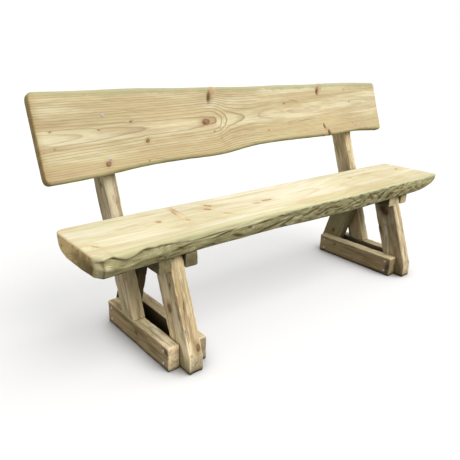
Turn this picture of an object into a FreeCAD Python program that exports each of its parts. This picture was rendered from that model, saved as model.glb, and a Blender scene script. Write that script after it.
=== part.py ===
import FreeCAD, Part
import os
import Sketcher

# Backed bench of heavy sawn timber: a waney-edged seat slab and a waney-edged
# back board carried by two mirrored trestles. Millimetres, +Z up, -Y is the
# front, and the origin lies on the floor under the middle of the bench.

doc = FreeCAD.newDocument("bench")
sheet = doc.addObject("Spreadsheet::Sheet", "Sizes")

# Driving dimensions

SIZES = {
    # seat slab
    "seat_height": 450.0,
    "seat_length": 1815.0,
    "seat_width": 291.0,
    "seat_thick": 68.0,
    "seat_front": -227.0,
    "seat_wave": 16.0,
    "seat_front_wane": 12.0,
    "seat_rear_wane": 64.0,
    "seat_ease": 6.0,
    "seat_corner_cut": 22.0,
    "seat_overhang": 215.0,
    # back board, placed by distances up the slope of the posts
    "board_length": 1801.0,
    "board_height": 298.0,
    "board_thick": 41.0,
    "board_low": 600.0,
    "board_rise": 52.0,
    "board_wave": 5.0,
    "board_ease": 9.0,
    # planks of the bottom rails, top rails and posts
    "plank_thick": 47.0,
    "rail_height": 89.0,
    "rail_length": 417.0,
    "rail_front": -249.5,
    "inner_rail_lead": 10.0,
    "top_rail_height": 49.0,
    "top_rail_front": -210.5,
    "top_rail_end_gap": 4.0,
    "post_width": 84.0,
    "post_lean": 19.4,
    "post_seat_gap": 31.0,
    "post_top_drop": 28.0,
    # legs
    "leg_thick": 53.0,
    "leg_width": 102.0,
    "front_leg_lean": 19.5,
    "front_leg_foot": -325.0,
    "rear_leg_lean": 18.0,
    "rear_leg_foot": 218.0,
    "toe_cut": 21.0,
    "plank_ease": 3.0,
    # screws
    "screw_head": 11.0,
    "screw_shank": 5.6,
    "screw_sink": 3.6,
    "screw_tip": 7.0,
    "screw_room": 0.3,
    "socket_width": 5.0,
    "socket_depth": 2.4,
    "leg_bite": 21.0,
    "seat_bite": 36.0,
    "post_bite": 38.0,
    "rail_screw_end": 29.0,
    "rail_screw_edge": 22.0,
    "top_screw_end": 25.0,
    "post_screw_drop": 59.0,
    "board_screw_top": 89.0,
    "board_screw_low": 49.0,
    "overrun": 20.0,
}

# Sizes and places that follow from the driving dimensions

FORMULAS = {
    "seat_under": "seat_height - seat_thick",
    "outer_face": "seat_length / 2 - seat_overhang",
    "leg_outer": "outer_face - plank_thick",
    "leg_inner": "leg_outer - leg_thick",
    "inner_face": "leg_inner - plank_thick",
    "rail_back": "rail_front + rail_length",
    "inner_rail_front": "rail_front - inner_rail_lead",
    "front_leg_run": "leg_width / cos(front_leg_lean)",
    "front_leg_rise": "seat_under * tan(front_leg_lean)",
    "front_toe": "front_leg_foot + toe_cut",
    "front_toe_height": "toe_cut / tan(front_leg_lean)",
    "rear_leg_run": "leg_width / cos(rear_leg_lean)",
    "rear_leg_rise": "seat_under * tan(rear_leg_lean)",
    "rear_heel": "rear_leg_foot - toe_cut",
    "rear_heel_height": "toe_cut / tan(rear_leg_lean)",
    "post_front": "seat_front + seat_width + post_seat_gap - seat_height * tan(post_lean)",
    "post_run": "post_width / cos(post_lean)",
    "post_foot": "post_front + rail_height * tan(post_lean)",
    "post_top": "board_low + board_height - post_top_drop",
    "top_rail_under": "seat_under - top_rail_height",
    "top_rail_back": "post_front + top_rail_under * tan(post_lean) - top_rail_end_gap",
    "cross_height": "(rear_leg_foot - rear_leg_run / 2 - post_front - post_run / 2)"
                    " / (tan(post_lean) + tan(rear_leg_lean))",
    "post_screw_height": "cross_height - post_screw_drop",
    "post_screw_place": "(rear_leg_foot - rear_leg_run + post_front + post_run"
                        " + post_screw_height * (tan(post_lean) - tan(rear_leg_lean))) / 2",
    "rail_screw_length": "plank_thick + leg_bite",
    "seat_screw_length": "top_rail_height + seat_bite",
    "board_screw_length": "board_thick + post_bite",
    "post_middle": "outer_face - plank_thick / 2",
}


def fill_sheet():
    row = 1
    for name, value in SIZES.items():
        sheet.set(f"A{row}", name)
        sheet.set(f"B{row}", str(value))
        sheet.setAlias(f"B{row}", name)
        row += 1
    doc.recompute()
    for name, formula in FORMULAS.items():
        sheet.set(f"A{row}", name)
        sheet.set(f"B{row}", "=" + formula)
        sheet.setAlias(f"B{row}", name)
        row += 1
        doc.recompute()


fill_sheet()
NAMES = set(SIZES) | set(FORMULAS)


def bound(formula):
    """Write a formula of sheet names as an expression of the document."""
    words = []
    word = ""
    for letter in formula + " ":
        if letter.isalnum() or letter == "_":
            word += letter
            continue
        words.append("Sizes." + word if word in NAMES else word)
        words.append(letter)
        word = ""
    return "".join(words).strip()


def value(formula):
    return float(sheet.evalExpression(bound(formula)))


def origin_plane(body, role):
    return [plane for plane in body.Origin.OriginFeatures if plane.Role == role][0]


def draw_outline(sketch, points):
    """A closed outline of straight lines, each corner held by two formulas."""
    places = [FreeCAD.Vector(value(across), value(up), 0) for across, up in points]
    for index, place in enumerate(places):
        following = places[(index + 1) % len(places)]
        sketch.addGeometry(Part.LineSegment(place, following))
    for index, (across, up) in enumerate(points):
        following = (index + 1) % len(points)
        sketch.addConstraint(Sketcher.Constraint("Coincident", index, 2, following, 1))
        for kind, formula in (("DistanceX", across), ("DistanceY", up)):
            held = sketch.addConstraint(Sketcher.Constraint(kind, index, 1, value(formula)))
            sketch.setExpression(f"Constraints[{held}]", bound(formula))


def ease_edges(body, base, edges, size):
    """Round the named edges of the body's last form."""
    fillet = body.newObject("PartDesign::Fillet", "Eased")
    fillet.Base = (base, edges)
    fillet.setExpression("Radius", bound(size))
    return fillet


def cut_corners(body, base, edges, size):
    """Cut the named edges of the body's last form off at a slant."""
    chamfer = body.newObject("PartDesign::Chamfer", "Corners")
    chamfer.Base = (base, edges)
    chamfer.setExpression("Size", bound(size))
    return chamfer


def edges_where(shape, test):
    return [f"Edge{number + 1}" for number, edge in enumerate(shape.Edges) if test(edge.BoundBox)]


def plank(label, start, thick, points):
    """A timber with a straight-sided profile, laid across the bench from the place start."""
    body = doc.addObject("PartDesign::Body", label + "_timber")
    sketch = body.newObject("Sketcher::SketchObject", "Profile")
    sketch.AttachmentSupport = [(origin_plane(body, "YZ_Plane"), "")]
    sketch.MapMode = "FlatFace"
    draw_outline(sketch, points)
    pad = body.newObject("PartDesign::Pad", "Timber")
    pad.Profile = sketch
    pad.setExpression("Length", bound(thick))
    doc.recompute()
    every_edge = edges_where(pad.Shape, lambda box: True)
    ease_edges(body, pad, every_edge, "plank_ease")
    body.setExpression("Placement.Base.x", bound(start))
    return body


# Waney boards, lofted along the bench through sections at hand-chosen stations

ACROSS = FreeCAD.Rotation(FreeCAD.Vector(1, 1, 1), 120)
LOFT_DEGREE = 2

# even stations from the left end: front wave and rear wave as parts of seat_wave
SEAT_SHARES = [
    (1.05, -0.3),
    (0.0, 0.0),
    (-0.6, -0.1),
    (-0.9, 0.05),
    (-0.05, 0.2),
    (0.7, 0.35),
    (0.5, 0.4),
    (0.65, 0.3),
    (0.25, 0.1),
]
# points of the rear wane: depth below the top and reach inward
WANE_SHARES = [(0.36, 0.03), (0.70, 0.20), (0.90, 0.52)]
FRONT_BULGE_SHARE = 0.45

# even stations from the left end: lower edge as parts of board_rise, upper edge as parts of board_wave
BOARD_SHARES = [
    (0.02, -0.4),
    (0.15, -0.1),
    (0.46, 0.6),
    (0.57, 0.0),
    (0.58, -0.1),
    (0.94, -0.4),
    (1.05, 0.3),
    (1.04, 0.2),
    (1.02, 1.1),
    (1.15, 1.0),
    (0.97, 0.4),
]
LEFT_SCREW_RISE_SHARE = 0.20
RIGHT_SCREW_RISE_SHARE = 1.06


def station(number, shares, length):
    """The place of an evenly spaced section along a board that is centred on the bench."""
    return f"({number} / {len(shares) - 1} - 1 / 2) * {length}"


def section(name, points, along):
    """An outline that stands across the bench at a place along it."""
    sketch = doc.addObject("Sketcher::SketchObject", name)
    sketch.Placement.Rotation = ACROSS
    sketch.setExpression("Placement.Base.x", bound(along))
    draw_outline(sketch, points)
    return sketch


def lofted(name, sections):
    loft = doc.addObject("Part::Loft", name)
    loft.Sections = sections
    loft.Solid = True
    loft.MaxDegree = LOFT_DEGREE
    return loft


def planing(name, low):
    """A box that planes the slab flat, from the height low upward."""
    box = doc.addObject("Part::Box", name)
    box.setExpression("Length", bound("seat_length + 2 * overrun"))
    box.setExpression("Width", bound("2 * seat_width"))
    box.setExpression("Height", bound("2 * overrun"))
    box.setExpression("Placement.Base.x", bound("0 - seat_length / 2 - overrun"))
    box.setExpression("Placement.Base.y", bound("seat_front - seat_width / 2"))
    box.setExpression("Placement.Base.z", bound(low))
    return box


def on_seat_top(box):
    top = value("seat_height")
    return abs(box.ZMin - top) + abs(box.ZMax - top) < value("screw_room")


def at_left_front_corner(box):
    upright = box.ZLength > value("seat_ease") > box.XLength
    return upright and box.XMax < 0 and box.YMax < value("seat_front + seat_rear_wane")


def seat_slab():
    sections = []
    for number, (front_wave, rear_wave) in enumerate(SEAT_SHARES):
        front = f"seat_front - {front_wave} * seat_wave"
        rear = f"seat_front + seat_width + {rear_wave} * seat_wave"
        bulge_height = f"seat_height - {FRONT_BULGE_SHARE} * seat_thick"
        points = [
            (front, "seat_height + overrun / 2"),
            (front, bulge_height),
            (f"{front} + seat_front_wane", "seat_under - overrun / 2"),
            (f"{rear} - seat_rear_wane", "seat_under - overrun / 2"),
            (f"{rear} - seat_rear_wane", "seat_under"),
        ]
        for depth, reach in reversed(WANE_SHARES):
            points.append((f"{rear} - {reach} * seat_rear_wane", f"seat_height - {depth} * seat_thick"))
        points.append((rear, "seat_height + overrun / 2"))
        along = station(number, SEAT_SHARES, "seat_length")
        sections.append(section(f"seat_section{number}", points, along))
    planed = doc.addObject("Part::Cut", "seat_planed")
    planed.Base = lofted("seat_loft", sections)
    planed.Tool = doc.addObject("Part::Compound", "seat_planing")
    above = planing("above_seat", "seat_height")
    below = planing("below_seat", "seat_under - 2 * overrun")
    planed.Tool.Links = [above, below]
    body = doc.addObject("PartDesign::Body", "seat_slab_timber")
    body.BaseFeature = planed
    doc.recompute()
    slab = cut_corners(body, body.Tip, edges_where(body.Tip.Shape, at_left_front_corner), "seat_corner_cut")
    doc.recompute()
    rim = edges_where(slab.Shape, on_seat_top)
    ease_edges(body, slab, rim, "seat_ease")
    return body


def back_board():
    sections = []
    for number, (rise, wave) in enumerate(BOARD_SHARES):
        low = f"board_low + {rise} * board_rise"
        high = f"board_low + board_height + {wave} * board_wave"
        points = [
            ("0", f"{low} + board_ease"),
            ("0 - board_ease", low),
            ("board_ease - board_thick", low),
            ("0 - board_thick", f"{low} + board_ease"),
            ("0 - board_thick", f"{high} - board_ease"),
            ("board_ease - board_thick", high),
            ("0 - board_ease", high),
            ("0", f"{high} - board_ease"),
        ]
        along = station(number, BOARD_SHARES, "board_length")
        sections.append(section(f"board_section{number}", points, along))
    body = doc.addObject("PartDesign::Body", "back_board_timber")
    body.BaseFeature = lofted("board_loft", sections)
    body.Placement.Rotation = FreeCAD.Rotation(FreeCAD.Vector(-1, 0, 0), value("post_lean"))
    body.setExpression("Placement.Rotation.Angle", bound("post_lean"))
    body.setExpression("Placement.Base.y", bound("post_front"))
    return body


# Screws: one pattern screw of each length and one slightly larger pattern hole

def turned(kind, name, radius, height, base="0"):
    piece = doc.addObject(kind, name)
    if kind == "Part::Cone":
        piece.setExpression("Radius1", bound(radius[0]))
        piece.setExpression("Radius2", bound(radius[1]))
    else:
        piece.setExpression("Radius", bound(radius))
    piece.setExpression("Height", bound(height))
    piece.setExpression("Placement.Base.z", bound(base))
    return piece


def pattern_screw(name, length):
    """A countersunk screw pointing up from its head at the origin, with a six-sided socket."""
    head = turned("Part::Cone", name + "_head", ("screw_head / 2", "screw_shank / 2"), "screw_sink")
    shank = turned("Part::Cylinder", name + "_shank", "screw_shank / 2", f"{length} - screw_tip")
    tip = turned("Part::Cone", name + "_tip", ("screw_shank / 2", "0"), "screw_tip", f"{length} - screw_tip")
    whole = doc.addObject("Part::MultiFuse", name + "_whole")
    whole.Shapes = [head, shank, tip]
    socket = doc.addObject("Part::Prism", name + "_socket")
    socket.Polygon = 6
    socket.setExpression("Circumradius", bound("socket_width / 2"))
    socket.setExpression("Height", bound("socket_depth"))
    screw = doc.addObject("Part::Cut", name)
    screw.Base = whole
    screw.Tool = socket
    return screw


def pattern_hole(name, length):
    sunk = turned(
        "Part::Cone",
        name + "_sunk",
        ("screw_head / 2 + screw_room", "screw_shank / 2 + screw_room"),
        "screw_sink",
    )
    bore = turned("Part::Cylinder", name + "_bore", "screw_shank / 2 + screw_room", f"{length} + screw_room")
    hole = doc.addObject("Part::MultiFuse", name)
    hole.Shapes = [sunk, bore]
    return hole


PATTERNS = {
    kind: (pattern_screw(kind, length), pattern_hole(kind + "_hole", length))
    for kind, length in (
        ("rail_screw", "rail_screw_length"),
        ("seat_screw", "seat_screw_length"),
        ("board_screw", "board_screw_length"),
    )
}
INTO_PLUS_X = (FreeCAD.Vector(0, 1, 0), "90")
INTO_MINUS_X = (FreeCAD.Vector(0, -1, 0), "90")
UPWARD = (FreeCAD.Vector(0, 0, 1), "0")
INTO_BOARD = (FreeCAD.Vector(-1, 0, 0), "90 + post_lean")

groups = {}
holes = {}


def placed(pattern, name, place, turn):
    copy = doc.addObject("App::Link", name)
    copy.LinkedObject = pattern
    axis, angle = turn
    copy.Placement.Rotation = FreeCAD.Rotation(axis, value(angle))
    for letter, formula in zip("xyz", place):
        copy.setExpression(f"Placement.Base.{letter}", bound(formula))
    copy.setExpression("Placement.Rotation.Angle", bound(angle))
    return copy


def drive(group, kind, place, turn, timbers):
    """Put one screw in a group and its hole in each timber that it passes."""
    screw, hole = PATTERNS[kind]
    number = sum(len(members) for members in groups.values())
    groups.setdefault(group, []).append(placed(screw, f"screw{number}", place, turn))
    cutter = placed(hole, f"hole{number}", place, turn)
    for timber in timbers:
        holes.setdefault(timber, []).append(cutter)


def drive_trestle_screws(side, sign):
    def across(formula):
        return f"{sign} * ({formula})"

    toward_middle = INTO_MINUS_X if sign > 0 else INTO_PLUS_X
    away_from_middle = INTO_PLUS_X if sign > 0 else INTO_MINUS_X
    faces = (
        ("outer", "outer_face", toward_middle, "leg_outer + plank_thick / 2", "rail_front"),
        ("inner", "inner_face", away_from_middle, "leg_inner - plank_thick / 2", "inner_rail_front"),
    )
    for rank, face, turn, middle, front_end in faces:
        rail = f"bottom_rail_{side}_{rank}"
        for leg, along in (("front", f"{front_end} + rail_screw_end"), ("rear", "rail_back - rail_screw_end")):
            for height in ("rail_screw_edge", "rail_height - rail_screw_edge"):
                place = (across(face), along, height)
                drive("bottom_rail_screws", "rail_screw", place, turn, [rail, f"{leg}_leg_{side}"])
        top_rail = f"top_rail_{side}_{rank}"
        top_middle = "top_rail_under + top_rail_height / 2"
        leg_middle = f"front_leg_foot + front_leg_run / 2 + ({top_middle}) * tan(front_leg_lean)"
        for leg, along in (("front", leg_middle), ("rear", "top_rail_back - top_screw_end")):
            place = (across(face), along, top_middle)
            drive("top_rail_screws", "rail_screw", place, turn, [top_rail, f"{leg}_leg_{side}"])
        rail_middle = "(top_rail_front + top_rail_back) / 2"
        for along in ("top_rail_front + top_screw_end", f"{rail_middle} + top_screw_end"):
            place = (across(middle), along, "top_rail_under")
            drive("seat_screws", "seat_screw", place, UPWARD, [top_rail, "seat_slab"])
    crossing = (across("outer_face"), "post_screw_place", "post_screw_height")
    drive("post_screws", "rail_screw", crossing, toward_middle, [f"back_post_{side}", f"rear_leg_{side}"])


def drive_board_screws(side, sign, rise):
    heights = (
        "board_low + board_height - board_screw_top",
        f"board_low + {rise} * board_rise + board_screw_low",
    )
    for up in heights:
        place = (
            f"{sign} * post_middle",
            f"post_front + ({up}) * sin(post_lean) - board_thick * cos(post_lean)",
            f"({up}) * cos(post_lean) + board_thick * sin(post_lean)",
        )
        drive("board_screws", "board_screw", place, INTO_BOARD, ["back_board", f"back_post_{side}"])


for side, sign, rise in (("left", -1, LEFT_SCREW_RISE_SHARE), ("right", 1, RIGHT_SCREW_RISE_SHARE)):
    drive_trestle_screws(side, sign)
    drive_board_screws(side, sign, rise)


# Timbers of the two trestles

def box_profile(front, back, low, high):
    return [(front, low), (back, low), (back, high), (front, high)]


FRONT_LEG = [
    ("front_toe", "0"),
    ("front_leg_foot + front_leg_run", "0"),
    ("front_leg_foot + front_leg_run + front_leg_rise", "seat_under"),
    ("front_leg_foot + front_leg_rise", "seat_under"),
    ("front_toe", "front_toe_height"),
]
REAR_LEG = [
    ("rear_leg_foot - rear_leg_run", "0"),
    ("rear_heel", "0"),
    ("rear_heel", "rear_heel_height"),
    ("rear_leg_foot - rear_leg_rise", "seat_under"),
    ("rear_leg_foot - rear_leg_run - rear_leg_rise", "seat_under"),
]
BACK_POST = [
    ("post_foot", "rail_height"),
    ("post_foot + post_run", "rail_height"),
    ("post_front + post_top * sin(post_lean) + post_width * cos(post_lean)",
     "post_top * cos(post_lean) - post_width * sin(post_lean)"),
    ("post_front + post_top * sin(post_lean)", "post_top * cos(post_lean)"),
]
OUTER_RAIL = box_profile("rail_front", "rail_back", "0", "rail_height")
INNER_RAIL = box_profile("inner_rail_front", "rail_back", "0", "rail_height")
TOP_RAIL = box_profile("top_rail_front", "top_rail_back", "top_rail_under", "seat_under")

timbers = {"seat_slab": seat_slab(), "back_board": back_board()}
for side, sign in (("left", -1), ("right", 1)):
    leg_start = "0 - leg_outer" if sign < 0 else "leg_inner"
    outer_start = "0 - outer_face" if sign < 0 else "leg_outer"
    inner_start = "0 - leg_inner" if sign < 0 else "inner_face"
    pieces = (
        (f"front_leg_{side}", leg_start, "leg_thick", FRONT_LEG),
        (f"rear_leg_{side}", leg_start, "leg_thick", REAR_LEG),
        (f"back_post_{side}", outer_start, "plank_thick", BACK_POST),
        (f"bottom_rail_{side}_outer", outer_start, "plank_thick", OUTER_RAIL),
        (f"bottom_rail_{side}_inner", inner_start, "plank_thick", INNER_RAIL),
        (f"top_rail_{side}_outer", outer_start, "plank_thick", TOP_RAIL),
        (f"top_rail_{side}_inner", inner_start, "plank_thick", TOP_RAIL),
    )
    for label, start, thick, points in pieces:
        timbers[label] = plank(label, start, thick, points)

# Each timber is drilled for its screws, and each group of screws is one sub-part

subparts = []
for label, timber in timbers.items():
    bores = doc.addObject("Part::Compound", label + "_bores")
    bores.Links = holes[label]
    drilled = doc.addObject("Part::Cut", label)
    drilled.Base = timber
    drilled.Tool = bores
    subparts.append(drilled)
for label, screws in groups.items():
    group = doc.addObject("Part::Compound", label)
    group.Links = screws
    subparts.append(group)
doc.recompute()


def check_document():
    faults = [item.Name for item in doc.Objects if "Invalid" in item.State or "Error" in item.State]
    faults += [item.Label for item in subparts if item.Shape.isNull() or not item.Shape.isValid()]
    if faults:
        raise RuntimeError("these do not build: " + ", ".join(faults))
    for label, timber in timbers.items():
        drilled = doc.getObject(label).Shape
        if len(drilled.Solids) != 1 or drilled.Volume >= timber.Shape.Volume:
            raise RuntimeError(label + " is not one solid with its holes")


check_document()
os.makedirs("parts", exist_ok=True)
for item in subparts:
    item.Shape.exportStep(f"parts/{item.Label}.step")
    print(item.Label, len(item.Shape.Solids), round(item.Shape.Volume))
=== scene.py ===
import math
import bpy
import numpy as np
from mathutils import Matrix, Vector


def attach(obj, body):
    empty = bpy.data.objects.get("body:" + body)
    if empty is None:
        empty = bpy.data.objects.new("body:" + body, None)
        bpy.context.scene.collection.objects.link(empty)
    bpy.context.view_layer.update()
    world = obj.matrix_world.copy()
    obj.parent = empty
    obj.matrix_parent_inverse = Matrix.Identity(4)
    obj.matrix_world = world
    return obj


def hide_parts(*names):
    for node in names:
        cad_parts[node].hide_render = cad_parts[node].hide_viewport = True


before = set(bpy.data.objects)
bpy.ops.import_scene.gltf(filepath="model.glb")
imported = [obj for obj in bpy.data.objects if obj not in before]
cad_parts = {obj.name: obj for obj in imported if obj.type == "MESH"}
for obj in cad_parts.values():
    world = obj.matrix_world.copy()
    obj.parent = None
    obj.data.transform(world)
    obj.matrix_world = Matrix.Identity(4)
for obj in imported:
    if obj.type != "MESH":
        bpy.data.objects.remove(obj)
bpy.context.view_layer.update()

# Backed bench of treated softwood. Metres, +Z up, -Y is the front.

# Sizes shared with the construction model

SEAT_TOP = 0.450
SEAT_UNDER = 0.382
SEAT_LENGTH = 1.815
SEAT_FRONT = -0.227
SEAT_REAR = 0.064
SEAT_WAVE = 0.016
REAR_WANE = 0.064
BOARD_LENGTH = 1.801
BOARD_THICK = 0.041
BOARD_LOW = 0.600
BOARD_HIGH = 0.898
BOARD_RISE = 0.052
BOARD_WAVE = 0.005
PLANK_THICK = 0.047
LEG_THICK = 0.053
LEG_WIDTH = 0.102
OUTER_FACE = 0.6925
LEG_OUTER = OUTER_FACE - PLANK_THICK
LEG_INNER = LEG_OUTER - LEG_THICK
INNER_FACE = LEG_INNER - PLANK_THICK
RAIL_FRONT = -0.2495
INNER_RAIL_REACH = 0.010
INNER_RAIL_FRONT = RAIL_FRONT - INNER_RAIL_REACH
RAIL_BACK = 0.1675
RAIL_HEIGHT = 0.089
TOP_RAIL_FRONT = -0.2105
TOP_RAIL_LENGTH = 0.2603
TOP_RAIL_UNDER = 0.333
TOP_RAIL_HEIGHT = 0.049
POST_WIDTH = 0.084
POST_TOP = 0.870
POST_FRONT = -0.06347
POST_LEAN = math.radians(19.4)
FRONT_LEG_FOOT = -0.325
FRONT_LEG_LEAN = math.radians(19.5)
REAR_LEG_FOOT = 0.218
REAR_LEG_LEAN = math.radians(18.0)
TOE_CUT = 0.021

# Waves of the two waney boards, at even stations from the left end

SEAT_FRONT_WAVE = (1.05, 0.0, -0.6, -0.9, -0.05, 0.7, 0.5, 0.65, 0.25)
SEAT_REAR_WAVE = (-0.3, 0.0, -0.1, 0.05, 0.2, 0.35, 0.4, 0.3, 0.1)
BOARD_LOW_RISE = (0.02, 0.15, 0.46, 0.57, 0.58, 0.94, 1.05, 1.04, 1.02, 1.15, 0.97)
BOARD_HIGH_WAVE = (-0.4, -0.1, 0.6, 0.0, -0.1, -0.4, 0.3, 0.2, 1.1, 1.0, 0.4)


def through(places, values, x):
    """A smooth curve through the values at the places, read at x."""
    places = np.asarray(places, float)
    values = np.asarray(values, float)
    slopes = np.gradient(values, places)
    x = np.clip(x, places[0], places[-1])
    k = np.clip(np.searchsorted(places, x) - 1, 0, len(places) - 2)
    gap = places[k + 1] - places[k]
    t = (x - places[k]) / gap
    start = values[k] * (1 + 2 * t) * (1 - t) ** 2 + slopes[k] * gap * t * (1 - t) ** 2
    end = values[k + 1] * t * t * (3 - 2 * t) - slopes[k + 1] * gap * t * t * (1 - t)
    return start + end


def waves_at(values, length, x):
    """The same through values at even places along a timber that is centred on 0."""
    return through(np.linspace(-length / 2, length / 2, len(values)), values, x)


def step(low, high, x):
    """0 at low and beyond it, 1 at high and beyond it, smooth between; low may be the greater one."""
    t = np.clip((x - low) / (high - low), 0, 1)
    return t * t * (3 - 2 * t)


def band(low, rise, fall, high, x):
    """0 below low and above high, 1 from rise to fall, smooth between."""
    return step(low, rise, x) * step(high, fall, x)


def hump(x, middle, half):
    """1 in the middle, falling smoothly on both sides."""
    return np.exp(-(((x - middle) / half) ** 2))


# waves that make up a random relief, and radians that each turns through in about its wavelength
RIPPLE_WAVES = 16
RIPPLE_TURN = 4.0


def ripple(points, size, seed):
    """Smooth random relief with about the given wavelengths, mostly between -1 and 1."""
    random = np.random.default_rng(seed)
    turns = random.normal(size=(RIPPLE_WAVES, 3)) * RIPPLE_TURN / np.asarray(size, float)
    shifts = random.uniform(0, 2 * math.pi, RIPPLE_WAVES)
    return np.cos(points @ turns.T + shifts).sum(axis=1) / math.sqrt(RIPPLE_WAVES)


def ripple_on(x, y, size, seed):
    """The same relief over two coordinates."""
    return ripple(np.column_stack([x, y, x * 0]), (*size, 1.0), seed)


def wander(x, size, seed):
    """The same relief along one coordinate."""
    return ripple_on(x, x * 0, (size, 1.0), seed)


# Timbers: each is a bar of cross-sections in its own frame, (along the grain, across, through)

CAP_SHARES = (0.03, 0.15, 0.30, 0.45, 0.60, 0.75, 0.90)
CORNER_STEPS = 5
# the first point past a rounded corner, in shares of the spacing
SUPPORT_SHARE = 0.12
# change of direction over two steps of an outline at which a corner begins to wear and is fully worn
CORNER_BEND = (0.15, 0.45)


def rows_of(length, ease, spacing):
    """Rows from the middle of one end face to the other: share of length, inset, share of section."""
    low = [(0.0, ease, share) for share in CAP_SHARES]
    for turn in np.linspace(0, math.pi / 2, CORNER_STEPS):
        low.append((ease * (1 - math.cos(turn)) / length, ease * (1 - math.sin(turn)), 1.0))
    high = [(1 - share, inset, size) for share, inset, size in reversed(low)]
    count = max(2, int(length / spacing))
    inner = np.linspace(ease / length, 1 - ease / length, count)[1:-1]
    return low + [(share, 0.0, 1.0) for share in inner] + high


def on_corner(corner, angle):
    """A point on a corner, given as across, through, two inward directions, radius and first angle."""
    across, depth, inward_u, inward_v, radius, _ = corner
    return np.array((
        across + inward_u * radius + radius * math.cos(angle),
        depth + inward_v * radius + radius * math.sin(angle),
    ))


def rounded(low, high, near, far, radii, spacing):
    """A closed outline across (low to high) and through (near to far), with a radius for each corner."""
    corners = (
        (low, near, 1, 1, radii[0], math.pi),
        (high, near, -1, 1, radii[1], -math.pi / 2),
        (high, far, -1, -1, radii[2], 0.0),
        (low, far, 1, -1, radii[3], math.pi / 2),
    )
    points = []
    for corner, ahead in zip(corners, corners[1:] + corners[:1]):
        for turn in np.linspace(0, math.pi / 2, CORNER_STEPS + 1):
            points.append(on_corner(corner, corner[-1] + turn))
        begin = points[-1]
        run = on_corner(ahead, ahead[-1]) - begin
        count = max(3, int(np.linalg.norm(run) / spacing))
        support = SUPPORT_SHARE / count
        shares = np.concatenate(([support], np.linspace(0, 1, count + 1)[1:-1], [1 - support]))
        points.extend(begin + run * share for share in shares)
    return np.array(points)


def outward(outline):
    """Unit normals of a closed outline."""
    run = np.roll(outline, -1, axis=0) - np.roll(outline, 1, axis=0)
    normal = np.stack([run[:, 1], -run[:, 0]], axis=1)
    normal /= np.maximum(np.linalg.norm(normal, axis=1, keepdims=True), 1e-9)
    turned = (np.roll(outline, -1, axis=0) * outline[:, ::-1] * (1, -1)).sum()
    return normal if turned < 0 else -normal


def constant(place):
    """A square end at a place along the timber."""
    return lambda u: u * 0 + place


def bar(outline, low, high, rows, relief):
    """Points of a bar in its own frame, as rows of loops, and masks of its end faces and corners."""
    loops = []
    ends = []
    corners = []
    ease = rows[0][1]
    for share, inset, size in rows:
        loop = outline(share)
        normal = outward(loop)
        bend = np.linalg.norm(np.roll(normal, -1, axis=0) - np.roll(normal, 1, axis=0), axis=1)
        if size == 1.0:
            flat = np.column_stack([np.full(len(loop), share), loop])
            loop = loop + normal * relief(flat)[:, None]
        middle = (loop.max(axis=0) + loop.min(axis=0)) / 2
        half = (loop.max(axis=0) - loop.min(axis=0)) / 2
        loop = middle + (loop - middle) * (1 - inset / half) * size
        along = low(loop[:, 0]) * (1 - share) + high(loop[:, 0]) * share
        turned = inset / ease
        end_rim = 4 * turned * (1 - turned)
        loops.append(np.column_stack([along, loop]))
        ends.append(np.full(len(loop), turned))
        corners.append(np.clip(step(*CORNER_BEND, bend) * (size == 1.0) + end_rim, 0, 1))
    return np.array(loops), np.concatenate(ends), np.concatenate(corners)


def mesh_of(name, loops, place):
    """A closed mesh through the loops, put in the shared frame, on or above the floor."""
    count, width = loops.shape[:2]
    points = loops.reshape(-1, 3) @ place[:, :3].T + place[:, 3]
    points[:, 2] = np.maximum(points[:, 2], 0.0)
    grid = np.arange(count * width).reshape(count, width)
    after = np.roll(grid, -1, axis=1)
    quads = np.stack([grid[:-1], after[:-1], after[1:], grid[1:]], axis=-1).reshape(-1, 4)
    middle = points.mean(axis=0)
    corner = points[quads]
    normals = np.cross(corner[:, 1] - corner[:, 0], corner[:, 3] - corner[:, 0])
    volume = ((corner.mean(axis=1) - middle) * normals).sum()
    faces = quads.tolist() + [grid[0][::-1].tolist(), grid[-1].tolist()]
    if volume < 0:
        faces = [face[::-1] for face in faces]
    mesh = bpy.data.meshes.new(name)
    mesh.from_pydata(points.tolist(), [], faces)
    mesh.polygons.foreach_set("use_smooth", [True] * len(mesh.polygons))
    mesh.update()
    return mesh


# what the wood materials read at each point of a timber, besides grain and flow
MARKS = ("swirl", "faint", "knot", "branch", "warm", "edge", "end", "stain", "wear", "tone")


def dress(mesh, grain, flow, **marks):
    """Store the grain's and the wane's own coordinates and the marks for the material to read."""
    for name, values in (("grain", grain), ("flow", flow)):
        attribute = mesh.attributes.new(name, "FLOAT_VECTOR", "POINT")
        attribute.data.foreach_set("vector", np.asarray(values, np.float32).ravel())
    for name in MARKS:
        values = np.broadcast_to(np.asarray(marks.get(name, 0.0), np.float32), len(mesh.vertices))
        attribute = mesh.attributes.new(name, "FLOAT", "POINT")
        attribute.data.foreach_set("value", np.ascontiguousarray(values))


def add_object(name, data):
    thing = bpy.data.objects.new(name, data)
    bpy.context.scene.collection.objects.link(thing)
    return thing


def show(mesh, node, material):
    """Show a mesh in place of a node of the construction model."""
    mesh.materials.append(material)
    piece = add_object(mesh.name, mesh)
    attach(piece, "root")
    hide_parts(node)


# Knots: each is an oval given by place along, place across, half length, half width and tilt

# how far a knot pushes the rings aside, and how far along and across that reaches, in sizes of the knot
KNOT_PUSH = 0.5
KNOT_REACH = 3.0
KNOT_SPREAD = 2.4
# the dark eye of a knot: how far it lies off the middle, and its size
EYE_SHIFT = 0.45
EYE_SIZE = 0.42
# half lengths from which small knots fade, and how much
SMALL_KNOT = (0.0080, 0.0050)
SMALL_FAINT = 0.36
NO_KNOT = 9.0


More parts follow.
